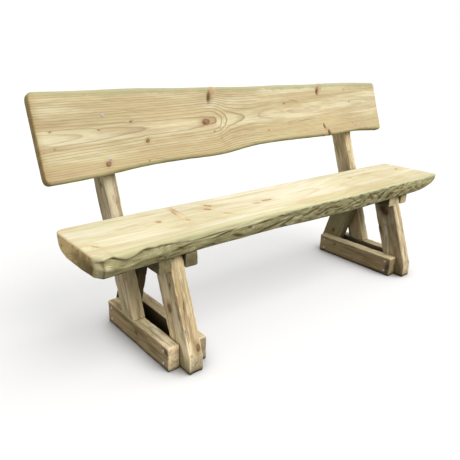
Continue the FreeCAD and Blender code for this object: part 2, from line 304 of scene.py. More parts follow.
def oval(along, across, shape):
    """Distance from the middle of a tilted oval, 1 on its rim."""
    x, y, half_long, half_wide, tilt = shape
    dx = along - x
    dy = across - y
    turned_x = dx * math.cos(tilt) + dy * math.sin(tilt)
    turned_y = dy * math.cos(tilt) - dx * math.sin(tilt)
    return np.hypot(turned_x / half_long, turned_y / half_wide)


def knot_field(along, across, knots):
    """How far each point is from its nearest knot, and how far the knots push the rings aside."""
    nearest = np.full(len(along), NO_KNOT)
    swirl = np.zeros(len(along))
    for knot in knots:
        x, y, half_long, half_wide, tilt = knot
        faint = SMALL_FAINT * step(*SMALL_KNOT, half_long)
        nearest = np.minimum(nearest, oval(along, across, knot) + faint)
        wider = (x, y, half_long * KNOT_REACH, half_wide * KNOT_SPREAD, tilt)
        swirl += half_wide * KNOT_PUSH * np.exp(-oval(along, across, wider) ** 2)
    return nearest, swirl


def hollows_at(along, across, hollows):
    """Dark hollows, 1 in their middle."""
    dark = np.zeros(len(along))
    for hollow in hollows:
        dark = np.maximum(dark, np.exp(-oval(along, across, hollow) ** 3))
    return dark


def knot_eyes(along, across, knots):
    """The dark eyes of the knots, off their middles, 1 in the middle of each."""
    eyes = []
    for x, y, half_long, half_wide, tilt in knots:
        middle = (x - EYE_SHIFT * half_long, y - EYE_SHIFT * half_wide)
        eyes.append((*middle, EYE_SIZE * half_long, EYE_SIZE * half_wide, tilt))
    return hollows_at(along, across, eyes)


# Materials

class Graph:
    """A short way to write a material's nodes."""

    def __init__(self, name):
        self.material = bpy.data.materials.new(name)
        self.material.use_nodes = True
        self.tree = self.material.node_tree
        self.shader = self.tree.nodes["Principled BSDF"]

    def put(self, socket, value):
        if isinstance(value, bpy.types.NodeSocket):
            self.tree.links.new(value, socket)
        elif isinstance(value, tuple) and len(value) == 3 and socket.type == "RGBA":
            socket.default_value = (*value, 1.0)
        else:
            socket.default_value = value

    def add(self, kind, inputs, **settings):
        node = self.tree.nodes.new(kind)
        for key, value in settings.items():
            setattr(node, key, value)
        for key, value in inputs.items():
            self.put(node.inputs[key], value)
        return node

    def number(self, name):
        return self.add("ShaderNodeAttribute", {}, attribute_name=name).outputs["Fac"]

    def vector(self, name):
        return self.add("ShaderNodeAttribute", {}, attribute_name=name).outputs["Vector"]

    def math(self, operation, first, second=0.0):
        return self.add("ShaderNodeMath", {0: first, 1: second}, operation=operation).outputs[0]

    def total(self, *values):
        result = values[0]
        for value in values[1:]:
            result = self.math("ADD", result, value)
        return result

    def times(self, first, second):
        return self.math("MULTIPLY", first, second)

    def centred(self, value):
        return self.math("SUBTRACT", value, 0.5)

    def span(self, value, low, high, to_low=0.0, to_high=1.0):
        inputs = {"Value": value, "From Min": low, "From Max": high, "To Min": to_low, "To Max": to_high}
        return self.add("ShaderNodeMapRange", inputs, interpolation_type="SMOOTHSTEP").outputs[0]

    def scaled(self, vector, factors):
        return self.add("ShaderNodeVectorMath", {0: vector, 1: factors}, operation="MULTIPLY").outputs[0]

    def noise(self, vector, detail=2.0, roughness=0.5, distortion=0.0):
        inputs = {
            "Vector": vector,
            "Scale": 1.0,
            "Detail": detail,
            "Roughness": roughness,
            "Distortion": distortion,
        }
        return self.add("ShaderNodeTexNoise", inputs).outputs[0]

    def drawn(self, vector, along, across, detail=2.0, roughness=0.5):
        """Noise drawn out along the grain."""
        return self.noise(self.scaled(vector, (along, across, across)), detail, roughness)

    def ramp(self, value, stops):
        node = self.add("ShaderNodeValToRGB", {"Fac": value})
        points = node.color_ramp.elements
        while len(points) < len(stops):
            points.new(0.5)
        for point, (place, colour) in zip(points, stops):
            point.position = place
            point.color = (*colour, 1.0) if isinstance(colour, tuple) else (colour, colour, colour, 1.0)
        return node.outputs["Color"]

    def mix(self, share, first, second, blend="MIX"):
        node = self.add("ShaderNodeMix", {0: share}, data_type="RGBA", blend_type=blend)
        self.put(node.inputs[6], first)
        self.put(node.inputs[7], second)
        return node.outputs[2]

    def coat(self, under, share, strength, over):
        """One colour over another, where the share is high and as far as the strength allows."""
        return self.mix(self.times(share, strength), under, over)

    def grey(self, value):
        return self.add("ShaderNodeCombineColor", {0: value, 1: value, 2: value}).outputs[0]

    def finish(self, colour, roughness, height, depth):
        bump = self.add("ShaderNodeBump", {"Strength": 1.0, "Distance": depth, "Height": height})
        self.put(self.shader.inputs["Base Color"], colour)
        self.put(self.shader.inputs["Roughness"], roughness)
        self.put(self.shader.inputs["Normal"], bump.outputs[0])
        return self.material


# darkness through one growth ring, from its early wood to the end of its late wood
RING_SHAPE = ((0.0, 0.0), (0.64, 0.04), (0.84, 0.55), (0.94, 1.0), (1.0, 0.0))
FAINTEST_RING = 0.5
# noise of the wood: rate along and across the grain, then detail and roughness
DRIFT_NOISE = (1.5, 11.0)
WAVER_NOISE = (9.0, 70.0, 3.0)
FIBRE_NOISE = (10.0, 190.0, 4.0, 0.7)
BROAD_NOISE = (1.6, 19.0, 4.0, 0.6)
MOSS_NOISE = (4.0, 23.0, 3.0, 0.6)
SPLIT_NOISE = (1.3, 24.0, 2.0)
ROUGH_NOISE = (45.0, 120.0, 3.0)
MOTTLE_NOISE = (38.0, 36.0, 5.0, 0.7)
SPECK_NOISE = (60.0, 190.0, 3.0, 0.7)
# noise of the bark: detail, roughness and distortion
FLOW_NOISE = (7.0, 0.70, 0.35)
# limits between which a noise or a mark turns into a layer of colour
WARM_SPAN = (0.44, 0.62)
GREEN_SPAN = (0.47, 0.60)
FADED_SPAN = (0.52, 0.38)
STREAK_SPAN = (0.47, 0.62)
CRACK_SPAN = (0.52, 0.60)
LIP_SPAN = (0.0, 0.35)
BARK_SPAN = (0.42, 0.95)
KNOT_SPAN = (1.25, 0.85)
HALO_SPAN = (3.0, 1.0)
SPIKE_SPAN = (0.35, 0.6)
SPIKE_GRAIN = (-0.10, 0.12)
MOTTLE_SPAN = (0.42, 0.64)
SPECK_SPAN = (0.50, 0.64)
WEAR_SPAN = (0.40, 0.58)
JOINT_SHADE_SPAN = (0.12, 0.68)
# how far ripe wood shifts the warm and the faded patches
RIPE_WARMS = 0.16
RIPE_KEEPS = 0.10
CRACK_WIDTH = 0.009
# knots: colours of the eye and the rim, the scale of the colours between, and how ragged the rims are
KNOT_HEART = (0.15, 0.055, 0.025)
KNOT_RIM = (0.20, 0.10, 0.045)
KNOT_SCALE = 0.8
KNOT_RAGGED = 0.9
SPIKE_RAGGED = 0.8
# blotches of the end grain, the least wear of a corner, and how far from a joint the painted shade reaches
END_BLOTCH = 0.40
LEAST_WEAR = 0.35
JOINT_SHADE_REACH = 0.09
JOINT_SHADE_SAMPLES = 6
# relief in the bump, in shares of its depth
RING_HEIGHT = 0.4
FIBRE_HEIGHT = 0.6
KNOT_HEIGHT = -0.5
CRACK_HEIGHT = -1.0
WOOD_SHINE = 0.22
WOOD_ROUGHNESS = (0.58, 0.76)
ROUGHNESS_SPAN = (0.3, 0.7)


def growth_rings(g, grain, look):
    """The late wood of the rings round the pith, and the same with some rings fainter than others."""
    across = g.scaled(grain, (0.0, 1.0, 1.0))
    radius = g.add("ShaderNodeVectorMath", {0: across}, operation="LENGTH").outputs["Value"]
    drift = g.times(g.centred(g.drawn(grain, *DRIFT_NOISE)), look["drift"])
    waver = g.times(g.centred(g.drawn(grain, *WAVER_NOISE)), look["waver"])
    phase = g.math("DIVIDE", g.total(radius, g.number("swirl"), drift, waver), look["ring"])
    ring = g.ramp(g.math("FRACT", phase), RING_SHAPE)
    year = g.math("FLOOR", phase)
    pick = g.add("ShaderNodeTexWhiteNoise", {"W": year}, noise_dimensions="1D").outputs[0]
    clear = g.math("SUBTRACT", g.span(pick, 0.0, 1.0, FAINTEST_RING, 1.0), g.number("faint"))
    return ring, g.times(ring, g.math("MAXIMUM", clear, 0.0))


def open_grain(g, grain, line, look):
    """Colour of the sawn faces, and the streaks and cracks in it."""
    streak = g.drawn(grain, *look["streak"])
    broad = g.drawn(grain, *BROAD_NOISE)
    patch = g.drawn(grain, *look["patch"])
    moss = g.drawn(grain, *MOSS_NOISE)
    ripe = g.number("warm")
    warm = g.span(g.total(patch, g.times(ripe, RIPE_WARMS)), *WARM_SPAN)
    faded = g.span(g.total(broad, g.times(ripe, RIPE_KEEPS)), *FADED_SPAN)
    split = g.math("ABSOLUTE", g.centred(g.drawn(grain, *SPLIT_NOISE)))
    crack = g.times(g.span(split, 0.0, CRACK_WIDTH, 1.0, 0.0), g.span(patch, *CRACK_SPAN))
    colour = g.coat(look["early"], warm, *look["warm"])
    colour = g.coat(colour, g.span(moss, *GREEN_SPAN), *look["green"])
    colour = g.coat(colour, faded, *look["pale"])
    colour = g.coat(colour, g.span(streak, *STREAK_SPAN), *look["dark"])
    colour = g.coat(colour, line, look["contrast"], look["late"])
    return g.coat(colour, crack, look["cracks"], look["dirt_and_shade_colour"]), streak, crack


def waney(g, colour, look):
    """The colour with waney edges, a pale lip and then bark-scarred wood, and the height of the scars."""
    edge = g.number("edge")
    flow = g.noise(g.vector("flow"), *FLOW_NOISE)
    scar = g.ramp(flow, (
        (0.35, look["bark_dark"]),
        (0.45, look["bark"]),
        (0.53, look["bark"]),
        (0.63, look["bark_pale"]),
    ))
    bark = g.span(edge, *BARK_SPAN)
    colour = g.coat(colour, g.span(edge, *LIP_SPAN), *look["lip"])
    return g.mix(bark, colour, scar), g.times(bark, g.times(flow, look["scar_depth"]))


def knotted(g, grain, colour, look):
    """The colour with knots and spike knots, and the share inside a knot."""
    knot = g.number("knot")
    rough = g.centred(g.drawn(grain, *ROUGH_NOISE))
    ragged = g.total(knot, g.times(rough, KNOT_RAGGED))
    inside = g.span(ragged, *KNOT_SPAN)
    heart = g.ramp(g.times(ragged, KNOT_SCALE), (
        (0.0, KNOT_HEART),
        (0.20, look["knot"]),
        (0.44, look["knot"]),
        (0.72, KNOT_RIM),
    ))
    spike = g.mix(g.span(rough, *SPIKE_GRAIN), look["spike"], look["halo"])
    branch = g.total(g.number("branch"), g.times(rough, SPIKE_RAGGED))
    colour = g.coat(colour, g.span(knot, *HALO_SPAN), look["halo_share"], look["halo"])
    colour = g.coat(colour, inside, look["knot_share"], heart)
    return g.mix(g.span(branch, *SPIKE_SPAN), colour, spike), inside


def cut_worn_and_shaded(g, grain, ring, colour, look):
    """The colour with end grain, worn corners, the marks' dirt and painted shade, and painted shade where
    timbers meet.
    """
    mottle = g.drawn(grain, *MOTTLE_NOISE)
    speck = g.drawn(grain, *SPECK_NOISE)
    blotches = g.span(mottle, *MOTTLE_SPAN, 0.0, END_BLOTCH), g.span(speck, *SPECK_SPAN, 0.0, END_BLOTCH)
    sawn = g.total(g.times(ring, look["end_rings"]), *blotches)
    cut = g.mix(sawn, look["end_pale"], look["end_dark"])
    worn = g.times(g.number("wear"), g.span(mottle, *WEAR_SPAN, LEAST_WEAR, 1.0))
    # painted shade: darker where ambient occlusion finds timber close by, as where timbers meet
    open_air = g.add("ShaderNodeAmbientOcclusion", {"Distance": JOINT_SHADE_REACH}, samples=JOINT_SHADE_SAMPLES)
    joint_shade = g.span(open_air.outputs["AO"], *JOINT_SHADE_SPAN, look["joint_shade"], 0.0)
    colour = g.coat(colour, g.number("end"), look["end_share"], cut)
    colour = g.coat(colour, worn, *look["wear"])
    # the stain and shade mark: dirt in places, painted shade in others
    colour = g.mix(g.number("stain"), colour, look["dirt_and_shade_colour"])
    return g.mix(joint_shade, colour, look["dirt_and_shade_colour"])


def wood(name, look):
    """Sawn softwood."""
    g = Graph(name)
    grain = g.vector("grain")
    ring, line = growth_rings(g, grain, look)
    colour, streak, crack = open_grain(g, grain, line, look)
    colour, scar_height = waney(g, colour, look)
    colour, inside = knotted(g, grain, colour, look)
    colour = cut_worn_and_shaded(g, grain, ring, colour, look)
    fibre = g.drawn(grain, *FIBRE_NOISE)
    light = g.total(g.times(fibre, look["fibre"]), 1.0 - look["fibre"] / 2, g.number("tone"))
    colour = g.mix(1.0, colour, g.grey(light), "MULTIPLY")
    height = g.total(
        g.times(ring, RING_HEIGHT),
        g.times(fibre, FIBRE_HEIGHT),
        g.times(inside, KNOT_HEIGHT),
        g.times(crack, CRACK_HEIGHT),
        scar_height,
    )
    g.put(g.shader.inputs["Specular IOR Level"], WOOD_SHINE)
    return g.finish(colour, g.span(streak, *ROUGHNESS_SPAN, *WOOD_ROUGHNESS), height, look["bump"])


# Looks of the three kinds of timber: sizes of the figure in metres, noise of the patches and streaks, then
# the layers' colours, some in one value with the share to which the layer covers what is under it

SEAT_LOOK = {
    "ring": 0.0085, "drift": 0.016, "waver": 0.0022, "contrast": 0.40, "fibre": 0.18, "bump": 0.0006,
    "patch": (5.5, 13.0, 4.0, 0.6), "streak": (4.5, 66.0, 4.0, 0.66),
    "early": (0.80, 0.735, 0.50), "late": (0.60, 0.48, 0.27),
    "warm": (0.72, (0.69, 0.555, 0.30)),
    "green": (0.55, (0.73, 0.70, 0.43)),
    "dark": (0.45, (0.62, 0.485, 0.27)),
    "pale": (0.75, (0.88, 0.835, 0.66)),
    "cracks": 0.15, "dirt_and_shade_colour": (0.125, 0.082, 0.026), "joint_shade": 0.30,
    "lip": (0.72, (0.58, 0.55, 0.29)),
    "bark": (0.40, 0.365, 0.18), "bark_pale": (0.66, 0.62, 0.38), "bark_dark": (0.11, 0.085, 0.03),
    "scar_depth": 4.0,
    "knot": (0.44, 0.24, 0.12), "knot_share": 0.70, "halo": (0.74, 0.52, 0.27), "halo_share": 0.60,
    "spike": (0.66, 0.44, 0.22),
    "end_share": 0.95, "end_pale": (0.98, 0.72, 0.32), "end_dark": (0.19, 0.10, 0.025),
    "end_rings": 0.42,
    "wear": (0.90, (0.90, 0.72, 0.42)),
}
BOARD_LOOK = {
    "ring": 0.0075, "drift": 0.0020, "waver": 0.0012, "contrast": 0.96, "fibre": 0.26, "bump": 0.0006,
    "patch": (2.2, 21.0, 4.0, 0.6), "streak": (2.6, 70.0, 4.0, 0.66),
    "early": (0.78, 0.69, 0.43), "late": (0.38, 0.27, 0.16),
    "warm": (0.68, (0.58, 0.435, 0.22)),
    "green": (0.38, (0.66, 0.60, 0.33)),
    "dark": (0.46, (0.53, 0.37, 0.215)),
    "pale": (0.46, (0.86, 0.79, 0.55)),
    "cracks": 0.35, "dirt_and_shade_colour": (0.10, 0.052, 0.016), "joint_shade": 0.25,
    # the pale lip along the top edge is partly a painted highlight
    "lip": (0.78, (0.47, 0.45, 0.245)),
    "bark": (0.38, 0.34, 0.15), "bark_pale": (0.54, 0.50, 0.26), "bark_dark": (0.20, 0.165, 0.06),
    "scar_depth": 1.5,
    "knot": (0.31, 0.17, 0.105), "knot_share": 0.88, "halo": (0.52, 0.36, 0.18), "halo_share": 0.55,
    "spike": (0.66, 0.47, 0.28),
    "end_share": 0.90, "end_pale": (0.66, 0.46, 0.17), "end_dark": (0.17, 0.09, 0.022),
    "end_rings": 0.45,
    "wear": (0.4, (0.60, 0.46, 0.24)),
}
FRAME_LOOK = {
    "ring": 0.0050, "drift": 0.012, "waver": 0.0036, "contrast": 0.52, "fibre": 0.42, "bump": 0.0010,
    "patch": (2.8, 11.0, 4.0, 0.6), "streak": (7.5, 62.0, 4.0, 0.66),
    "early": (0.67, 0.555, 0.345), "late": (0.29, 0.20, 0.10),
    "warm": (0.85, (0.515, 0.36, 0.18)),
    "green": (0.45, (0.44, 0.385, 0.19)),
    "dark": (0.56, (0.22, 0.15, 0.07)),
    "pale": (0.90, (0.86, 0.755, 0.53)),
    "cracks": 0.75, "dirt_and_shade_colour": (0.045, 0.03, 0.012), "joint_shade": 0.85,
    "lip": (0.75, (0.44, 0.375, 0.165)),
    "bark": (0.34, 0.29, 0.13), "bark_pale": (0.48, 0.42, 0.22), "bark_dark": (0.15, 0.12, 0.045),
    "scar_depth": 1.0,
    "knot": (0.24, 0.135, 0.065), "knot_share": 0.9, "halo": (0.36, 0.25, 0.125), "halo_share": 0.70,
    # no spike knots here: tufts of moss take their colour
    "spike": (0.27, 0.30, 0.05),
    "end_share": 0.85, "end_pale": (0.94, 0.78, 0.51), "end_dark": (0.34, 0.225, 0.105),
    "end_rings": 0.50,
    "wear": (0.60, (0.82, 0.70, 0.46)),
}


ZINC_DULL = (0.76, 0.78, 0.83)
ZINC_BRIGHT = (0.94, 0.95, 0.97)
ZINC_METALLIC = 0.25
ZINC_ROUGHNESS = (0.30, 0.52)
BLOTCH_RATE = (420.0, 420.0, 420.0)
BLOTCH_SPAN = (0.3, 0.7)
SCRATCH_RATE = (2600.0, 900.0, 2600.0)
SCRATCH_DEPTH = 0.00008


def steel():
    """Bright zinc with faint blotches and wear."""
    g = Graph("screw_steel")
    place = g.add("ShaderNodeTexCoord", {}).outputs["Object"]
    blotch = g.noise(g.scaled(place, BLOTCH_RATE), 3.0, 0.6)
    scratch = g.noise(g.scaled(place, SCRATCH_RATE))
    colour = g.ramp(blotch, tuple(zip(BLOTCH_SPAN, (ZINC_DULL, ZINC_BRIGHT))))
    colour = g.mix(1.0, colour, g.grey(g.number("tone")), "MULTIPLY")
    g.put(g.shader.inputs["Metallic"], ZINC_METALLIC)
    return g.finish(colour, g.span(blotch, *BLOTCH_SPAN, *ZINC_ROUGHNESS), scratch, SCRATCH_DEPTH)


SEAT_WOOD = wood("seat_timber", SEAT_LOOK)
BOARD_WOOD = wood("board_timber", BOARD_LOOK)
FRAME_WOOD = wood("frame_timber", FRAME_LOOK)
STEEL = steel()

# Seat slab

SEAT_THICK = SEAT_TOP - SEAT_UNDER
SEAT_EASE = 0.006
SEAT_CORNER = 0.022
SEAT_LEFT_REAR = 0.030
SEAT_RIGHT_REAR = 0.009
SEAT_RIGHT_FRONT = 0.012
SEAT_UNEVEN = 0.0004
SEAT_SPACING = 0.0055
TOP_STEPS = 56
LIP_STEPS = 9
FACE_STEPS = 30
FOOT_STEPS = 6
UNDER_STEPS = 36
REAR_STEPS = 30
REAR_CROWDING = 1.3
# rounding of the front edge's top, less toward the right, and of its foot
LEFT_ROUND = 0.012
RIGHT_ROUND = 0.006
ROUND_RUN = (-0.3, 0.2)
FOOT_ROUND = 0.006
# the foot tucks in below a share of the thickness, except along the middle of the seat
TUCK_START = 0.45
TUCK_REACH = 0.009
TUCK_CURVE = 1.5
UNTUCKED_RUN = (-0.55, -0.30, 0.35, 0.65)
# where along the seat the lip overhangs, and where the slanting scars begin
LIP_RUN = (-0.905, -0.885, -0.70, -0.50)
SCARRED_RUN = (-0.40, 0.0)
# lower limit of the pale lip along the front edge: place along the seat, depth below the top
LIP_LINE = (
    (-0.897, 0.016), (-0.875, 0.009), (-0.855, 0.009), (-0.835, 0.018), (-0.81, 0.026), (-0.785, 0.022),
    (-0.755, 0.012), (-0.73, 0.013), (-0.66, 0.016), (-0.60, 0.024), (-0.55, 0.027), (-0.43, 0.023),
    (-0.32, 0.022), (-0.20, 0.016), (-0.08, 0.008), (0.10, 0.006), (0.91, 0.006),
)
CREVICE_DEPTH = 0.0046
CREVICE_HALF = 0.0035
LEDGE_DEPTH = 0.0050
LEDGE_SPAN = (-0.003, 0.003, 0.006, 0.030)
LUMP_DEPTH = 0.0012
GROOVE_DEPTH = 0.0026
SCAR_DEPTH = 0.0016
SCAR_BEND = 0.006
# relief of the front edge: it begins within the lip, and most of it fades above the foot
BARE_LIP = (0.5, 1.5)
FOOT_FADE = 0.012
FOOT_SMOOTH = 0.6
# slant of the scars: rise along the seat at its middle, and how fast the rise grows to the right
SCAR_RISE = 0.16
SCAR_GAIN = 0.09
# dark grooves of the front edge: place along, depth below the top, half length, half width, tilt
FRONT_GROOVES = (
    (-0.608, 0.039, 0.048, 0.0036, -0.14),
    (-0.490, 0.025, 0.070, 0.0034, -0.04),
    (-0.440, 0.031, 0.056, 0.0040, -0.15),
    (-0.380, 0.051, 0.026, 0.0065, 0.25),
    (-0.324, 0.034, 0.012, 0.0050, 0.0),
    (-0.248, 0.029, 0.058, 0.0032, -0.03),
    (-0.218, 0.053, 0.080, 0.0042, -0.15),
    (-0.132, 0.046, 0.050, 0.0042, -0.36),
    (-0.020, 0.032, 0.045, 0.0036, -0.30),
    (0.060, 0.040, 0.050, 0.0040, -0.34),
)
# place along, place across, half length, half width, tilt
SEAT_KNOTS = (
    (-0.489, 0.010, 0.0052, 0.042, -0.06),
    (-0.505, -0.006, 0.0052, 0.047, -0.22),
    (-0.357, -0.011, 0.0075, 0.017, 0.42),
    (-0.384, -0.046, 0.0080, 0.013, 0.68),
    (-0.352, -0.122, 0.0042, 0.027, 0.58),
    (-0.511, -0.105, 0.0050, 0.017, 0.58),
    (-0.603, -0.066, 0.0085, 0.008, 0.0),
    (-0.867, -0.147, 0.0045, 0.021, 0.60),
    (-0.124, -0.084, 0.025, 0.0070, -0.07),
    (-0.181, -0.090, 0.015, 0.0045, -0.30),
    (0.177, -0.088, 0.007, 0.003, 0.0),
    (0.460, -0.041, 0.012, 0.005, -0.4),
    (0.826, -0.054, 0.013, 0.006, 0.2),
)
SEAT_PITH_ACROSS = -0.070
SEAT_PITH_DEEP = 0.335


def seat_front(x):
    """Front edge, with the cut corner at the left end and the rounded one at the right."""
    waves = waves_at(SEAT_FRONT_WAVE, SEAT_LENGTH, x)
    cut = np.maximum(0.0, SEAT_CORNER - x - SEAT_LENGTH / 2)
    return SEAT_FRONT - SEAT_WAVE * waves + cut + corner_drop(SEAT_LENGTH / 2 - x, SEAT_RIGHT_FRONT)


def corner_drop(gap, radius):
    """How far a rounded corner falls back at a distance from the end."""
    inner = np.clip(radius - gap, 0, radius)
    return radius - np.sqrt(radius ** 2 - inner ** 2)


def seat_rear(x):
    waves = waves_at(SEAT_REAR_WAVE, SEAT_LENGTH, x)
    left = corner_drop(SEAT_LENGTH / 2 + x, SEAT_LEFT_REAR)
    right = corner_drop(SEAT_LENGTH / 2 - x, SEAT_RIGHT_REAR)
    return SEAT_REAR + SEAT_WAVE * waves - np.maximum(left, right)


def lip_depth(x):
    return through(*np.array(LIP_LINE).T, x)


def lipped(x):
    """Share of the overhanging lip: all of it at the left, none past the first third."""
    return band(*LIP_RUN, x)


def crevice(x, depth):
    """The dark wavy crevice under the lip, of uneven width, 1 in its middle."""
    half = CREVICE_HALF * (1.2 + 0.5 * wander(x, 0.03, 27))
    share = lipped(x) * (0.75 + 0.25 * wander(x, 0.05, 26))
    return share * hump(depth, lip_depth(x), half)


def ledge(x, depth):
    """How far the wane steps back under the lip before it swells again."""
    return LEDGE_DEPTH * lipped(x) * band(*LEDGE_SPAN, depth - lip_depth(x))


def scar_places(x, depth):
    """Coordinates along and across the slanting scars of the front edge."""
    bend = SCAR_BEND * ripple_on(x, depth, (0.12, 0.05), 23)
    return x, bend - depth - SCAR_RISE * x - SCAR_GAIN * x ** 2


def scarred(x):
    """Share of the slanting scars along the front edge: none on the left, all on the right."""
    return step(*SCARRED_RUN, x)


def scars(x, depth):
    """Slanting scars in clusters, positive inward, mostly between -1 and 1."""
    slanting = scar_places(x, depth)
    clusters = step(-0.9, 0.7, ripple_on(x, depth, (0.22, 0.12), 25))
    coarse = ripple_on(*slanting, (0.080, 0.016), 21)
    fine = ripple_on(*slanting, (0.036, 0.0085), 24)
    return scarred(x) * (0.35 + 0.65 * clusters) * 0.55 * (coarse + fine)


def bark_relief(x, depth):
    """Relief of the front wane, positive inward: soft lumps on the left, slanting scars on the right."""
    lumps = LUMP_DEPTH * ripple_on(x, depth, (0.13, 0.030), 22) * (1 - 0.5 * scarred(x))
    return lumps + GROOVE_DEPTH * hollows_at(x, depth, FRONT_GROOVES) + SCAR_DEPTH * scars(x, depth)


def front_profile(x):
    """Depths below the top and insets of the front edge: a rounded lip, a crevice, a tucked-in foot."""
    lip = LEFT_ROUND + (RIGHT_ROUND - LEFT_ROUND) * step(*ROUND_RUN, x)
    foot = SEAT_THICK - FOOT_ROUND
    turns = np.linspace(0, math.pi / 2, LIP_STEPS)
    low_turns = np.linspace(0, math.pi / 2, FOOT_STEPS)
    face = np.linspace(lip, foot, FACE_STEPS + 2)[1:-1]
    depth = np.concatenate([lip * (1 - np.cos(turns)), face, foot + FOOT_ROUND * np.sin(low_turns)])
    inset = np.concatenate([lip * (1 - np.sin(turns)), face * 0, FOOT_ROUND * (1 - np.cos(low_turns))])
    places = np.full(len(depth), x)
    tuck = np.clip(depth / SEAT_THICK - TUCK_START, 0, None) / (1 - TUCK_START)
    inset = inset + TUCK_REACH * (1 - band(*UNTUCKED_RUN, places)) * tuck ** TUCK_CURVE
    inset = inset + CREVICE_DEPTH * crevice(places, depth) + ledge(places, depth)
    below_lip = step(lip * BARE_LIP[0], lip * BARE_LIP[1], depth)
    above_foot = 1 - FOOT_SMOOTH * step(SEAT_THICK - FOOT_FADE, SEAT_THICK, depth)
    return depth, inset + below_lip * above_foot * bark_relief(places, depth)


# rear wane: share of the thickness below the top, share of the reach inward
REAR_CURVE = (
    (0.0, 0.10), (0.03, 0.025), (0.09, 0.0), (0.36, 0.03), (0.70, 0.20), (0.90, 0.52), (1.0, 1.0),
)
# the underside rises like a quarter of an ellipse toward the right end, and a little at the left front
RIGHT_RISE_START = 0.72
RIGHT_RISE = 0.046
LEFT_RISE_START = -0.875
LEFT_RISE = 0.005
LEFT_RISE_INLAND = (0.10, 0.02)


def right_rise(x):
    t = np.clip((x - RIGHT_RISE_START) / (SEAT_LENGTH / 2 - RIGHT_RISE_START), 0, 1)
    return RIGHT_RISE * (1 - np.sqrt(1 - t ** 2))


def seat_outline(share):
    """Closed outline at a share of the length: top, front edge, underside and rear wane."""
    x = (share - 0.5) * SEAT_LENGTH
    front = float(seat_front(x))
    rear = float(seat_rear(x))
    depth, inset = front_profile(x)
    front_run = np.column_stack([front + inset, SEAT_TOP - depth])
    drop = np.linspace(0, 1, REAR_STEPS) ** REAR_CROWDING
    reach = REAR_WANE * through(*np.array(REAR_CURVE).T, drop)
    rear_run = np.column_stack([rear - reach, SEAT_TOP - SEAT_THICK * drop])
    top = np.linspace(rear_run[0], front_run[0], TOP_STEPS)[1:-1]
    bottom = np.linspace(front_run[-1], rear_run[-1], UNDER_STEPS)[1:-1]
    loop = np.concatenate([top, front_run, bottom, rear_run[::-1]])
    low = (SEAT_TOP - loop[:, 1]) / SEAT_THICK
    near_front = step(*LEFT_RISE_INLAND, loop[:, 0] - front)
    left_rise = LEFT_RISE * step(LEFT_RISE_START, -SEAT_LENGTH / 2, x) * near_front
    loop[:, 1] += (right_rise(x) + left_rise) * low
    return loop


def seat_relief(points):
    """Slight unevenness of the planed faces."""
    spots = np.column_stack([(points[:, 0] - 0.5) * SEAT_LENGTH, points[:, 1:]])
    return SEAT_UNEVEN * ripple(spots, (0.25, 0.06, 0.06), 4)


# bands of the seat's marks: x along it, y across it, inland of the front edge, depth below the top or, for
# the wane, below the lip; the pits' band is of the scars' own depth
LIP_INLAND = (0.030, 0.004)
WANE_SPAN = (-0.003, 0.006)
REAR_BARK_DEPTH = (0.004, 0.030)
PIT_SPAN = (0.10, 0.70)
LOW_DEPTH = (0.030, 0.060)
ARRIS_HALF = 0.004
CUT_FACE = (0.001, 0.006)
CUT_WORN_DEPTH = (0.012, 0.030)
END_DIRT_Y = (0.00, -0.21)
END_DIRT_DEPTH = (0.006, 0.036)
END_PALE_Y = (-0.17, -0.03)
RIM_DEPTH = (0.020, 0.004)
LIT_LIP_DEPTH = (0.006, 0.022)
TAN_X = (-0.20, 0.05, 0.45, 0.75)
TAN_INLAND = (0.004, 0.018, 0.055, 0.095)
MIDDLE_X = (-0.45, -0.20, 0.15, 0.40)
RIGHT_BARK_X = (0.40, 0.66)
LEFT_BARK_X = (-0.60, -0.30)
# a pale run down the front edge: place along the seat, half width and lowest point
RUN_PLACE = -0.664
RUN_HALF = 0.008
RUN_LOW = 0.075
# strength of each darkening: dirt and painted shade in the crevice, grooves and pits, darker toward the
# foot, painted shade along the cut corner's arris, the end darker toward its front and foot, the most of
# all
CREVICE_DIRT_AND_SHADE = 1.05
GROOVE_DIRT_AND_SHADE = 0.88
PIT_DIRT_AND_SHADE = 0.78
LOW_DARKENING = 0.22
ARRIS_SHADE = 0.6
END_DARKENING = 0.80
MOST_SEAT_DARKENING = 0.93
# rates of the bark's noise along and across the scars, and through the slab
SEAT_FLOW = (15.0, 85.0, 30.0)
# how far the pith wanders sideways, and how much it falls along the slab
PITH_WANDER = 0.02
PITH_FALL = 0.02


def front_dirt_and_shade(x, depth, wane):
    """Darkening of the front edge: dirt and painted shade in its crevice, grooves and pits, darker toward
    its foot, painted shade on the cut corner's arris.
    """
    grooves = hollows_at(x, depth, FRONT_GROOVES)
    cracks = np.maximum(CREVICE_DIRT_AND_SHADE * crevice(x, depth), GROOVE_DIRT_AND_SHADE * grooves)
    pits = PIT_DIRT_AND_SHADE * step(*PIT_SPAN, scars(x, depth)) * wane
    low = LOW_DARKENING * step(*LOW_DEPTH, depth)
    arris = ARRIS_SHADE * hump(x, SEAT_CORNER - SEAT_LENGTH / 2, ARRIS_HALF) * wane
    return np.maximum(cracks, pits) + low + arris


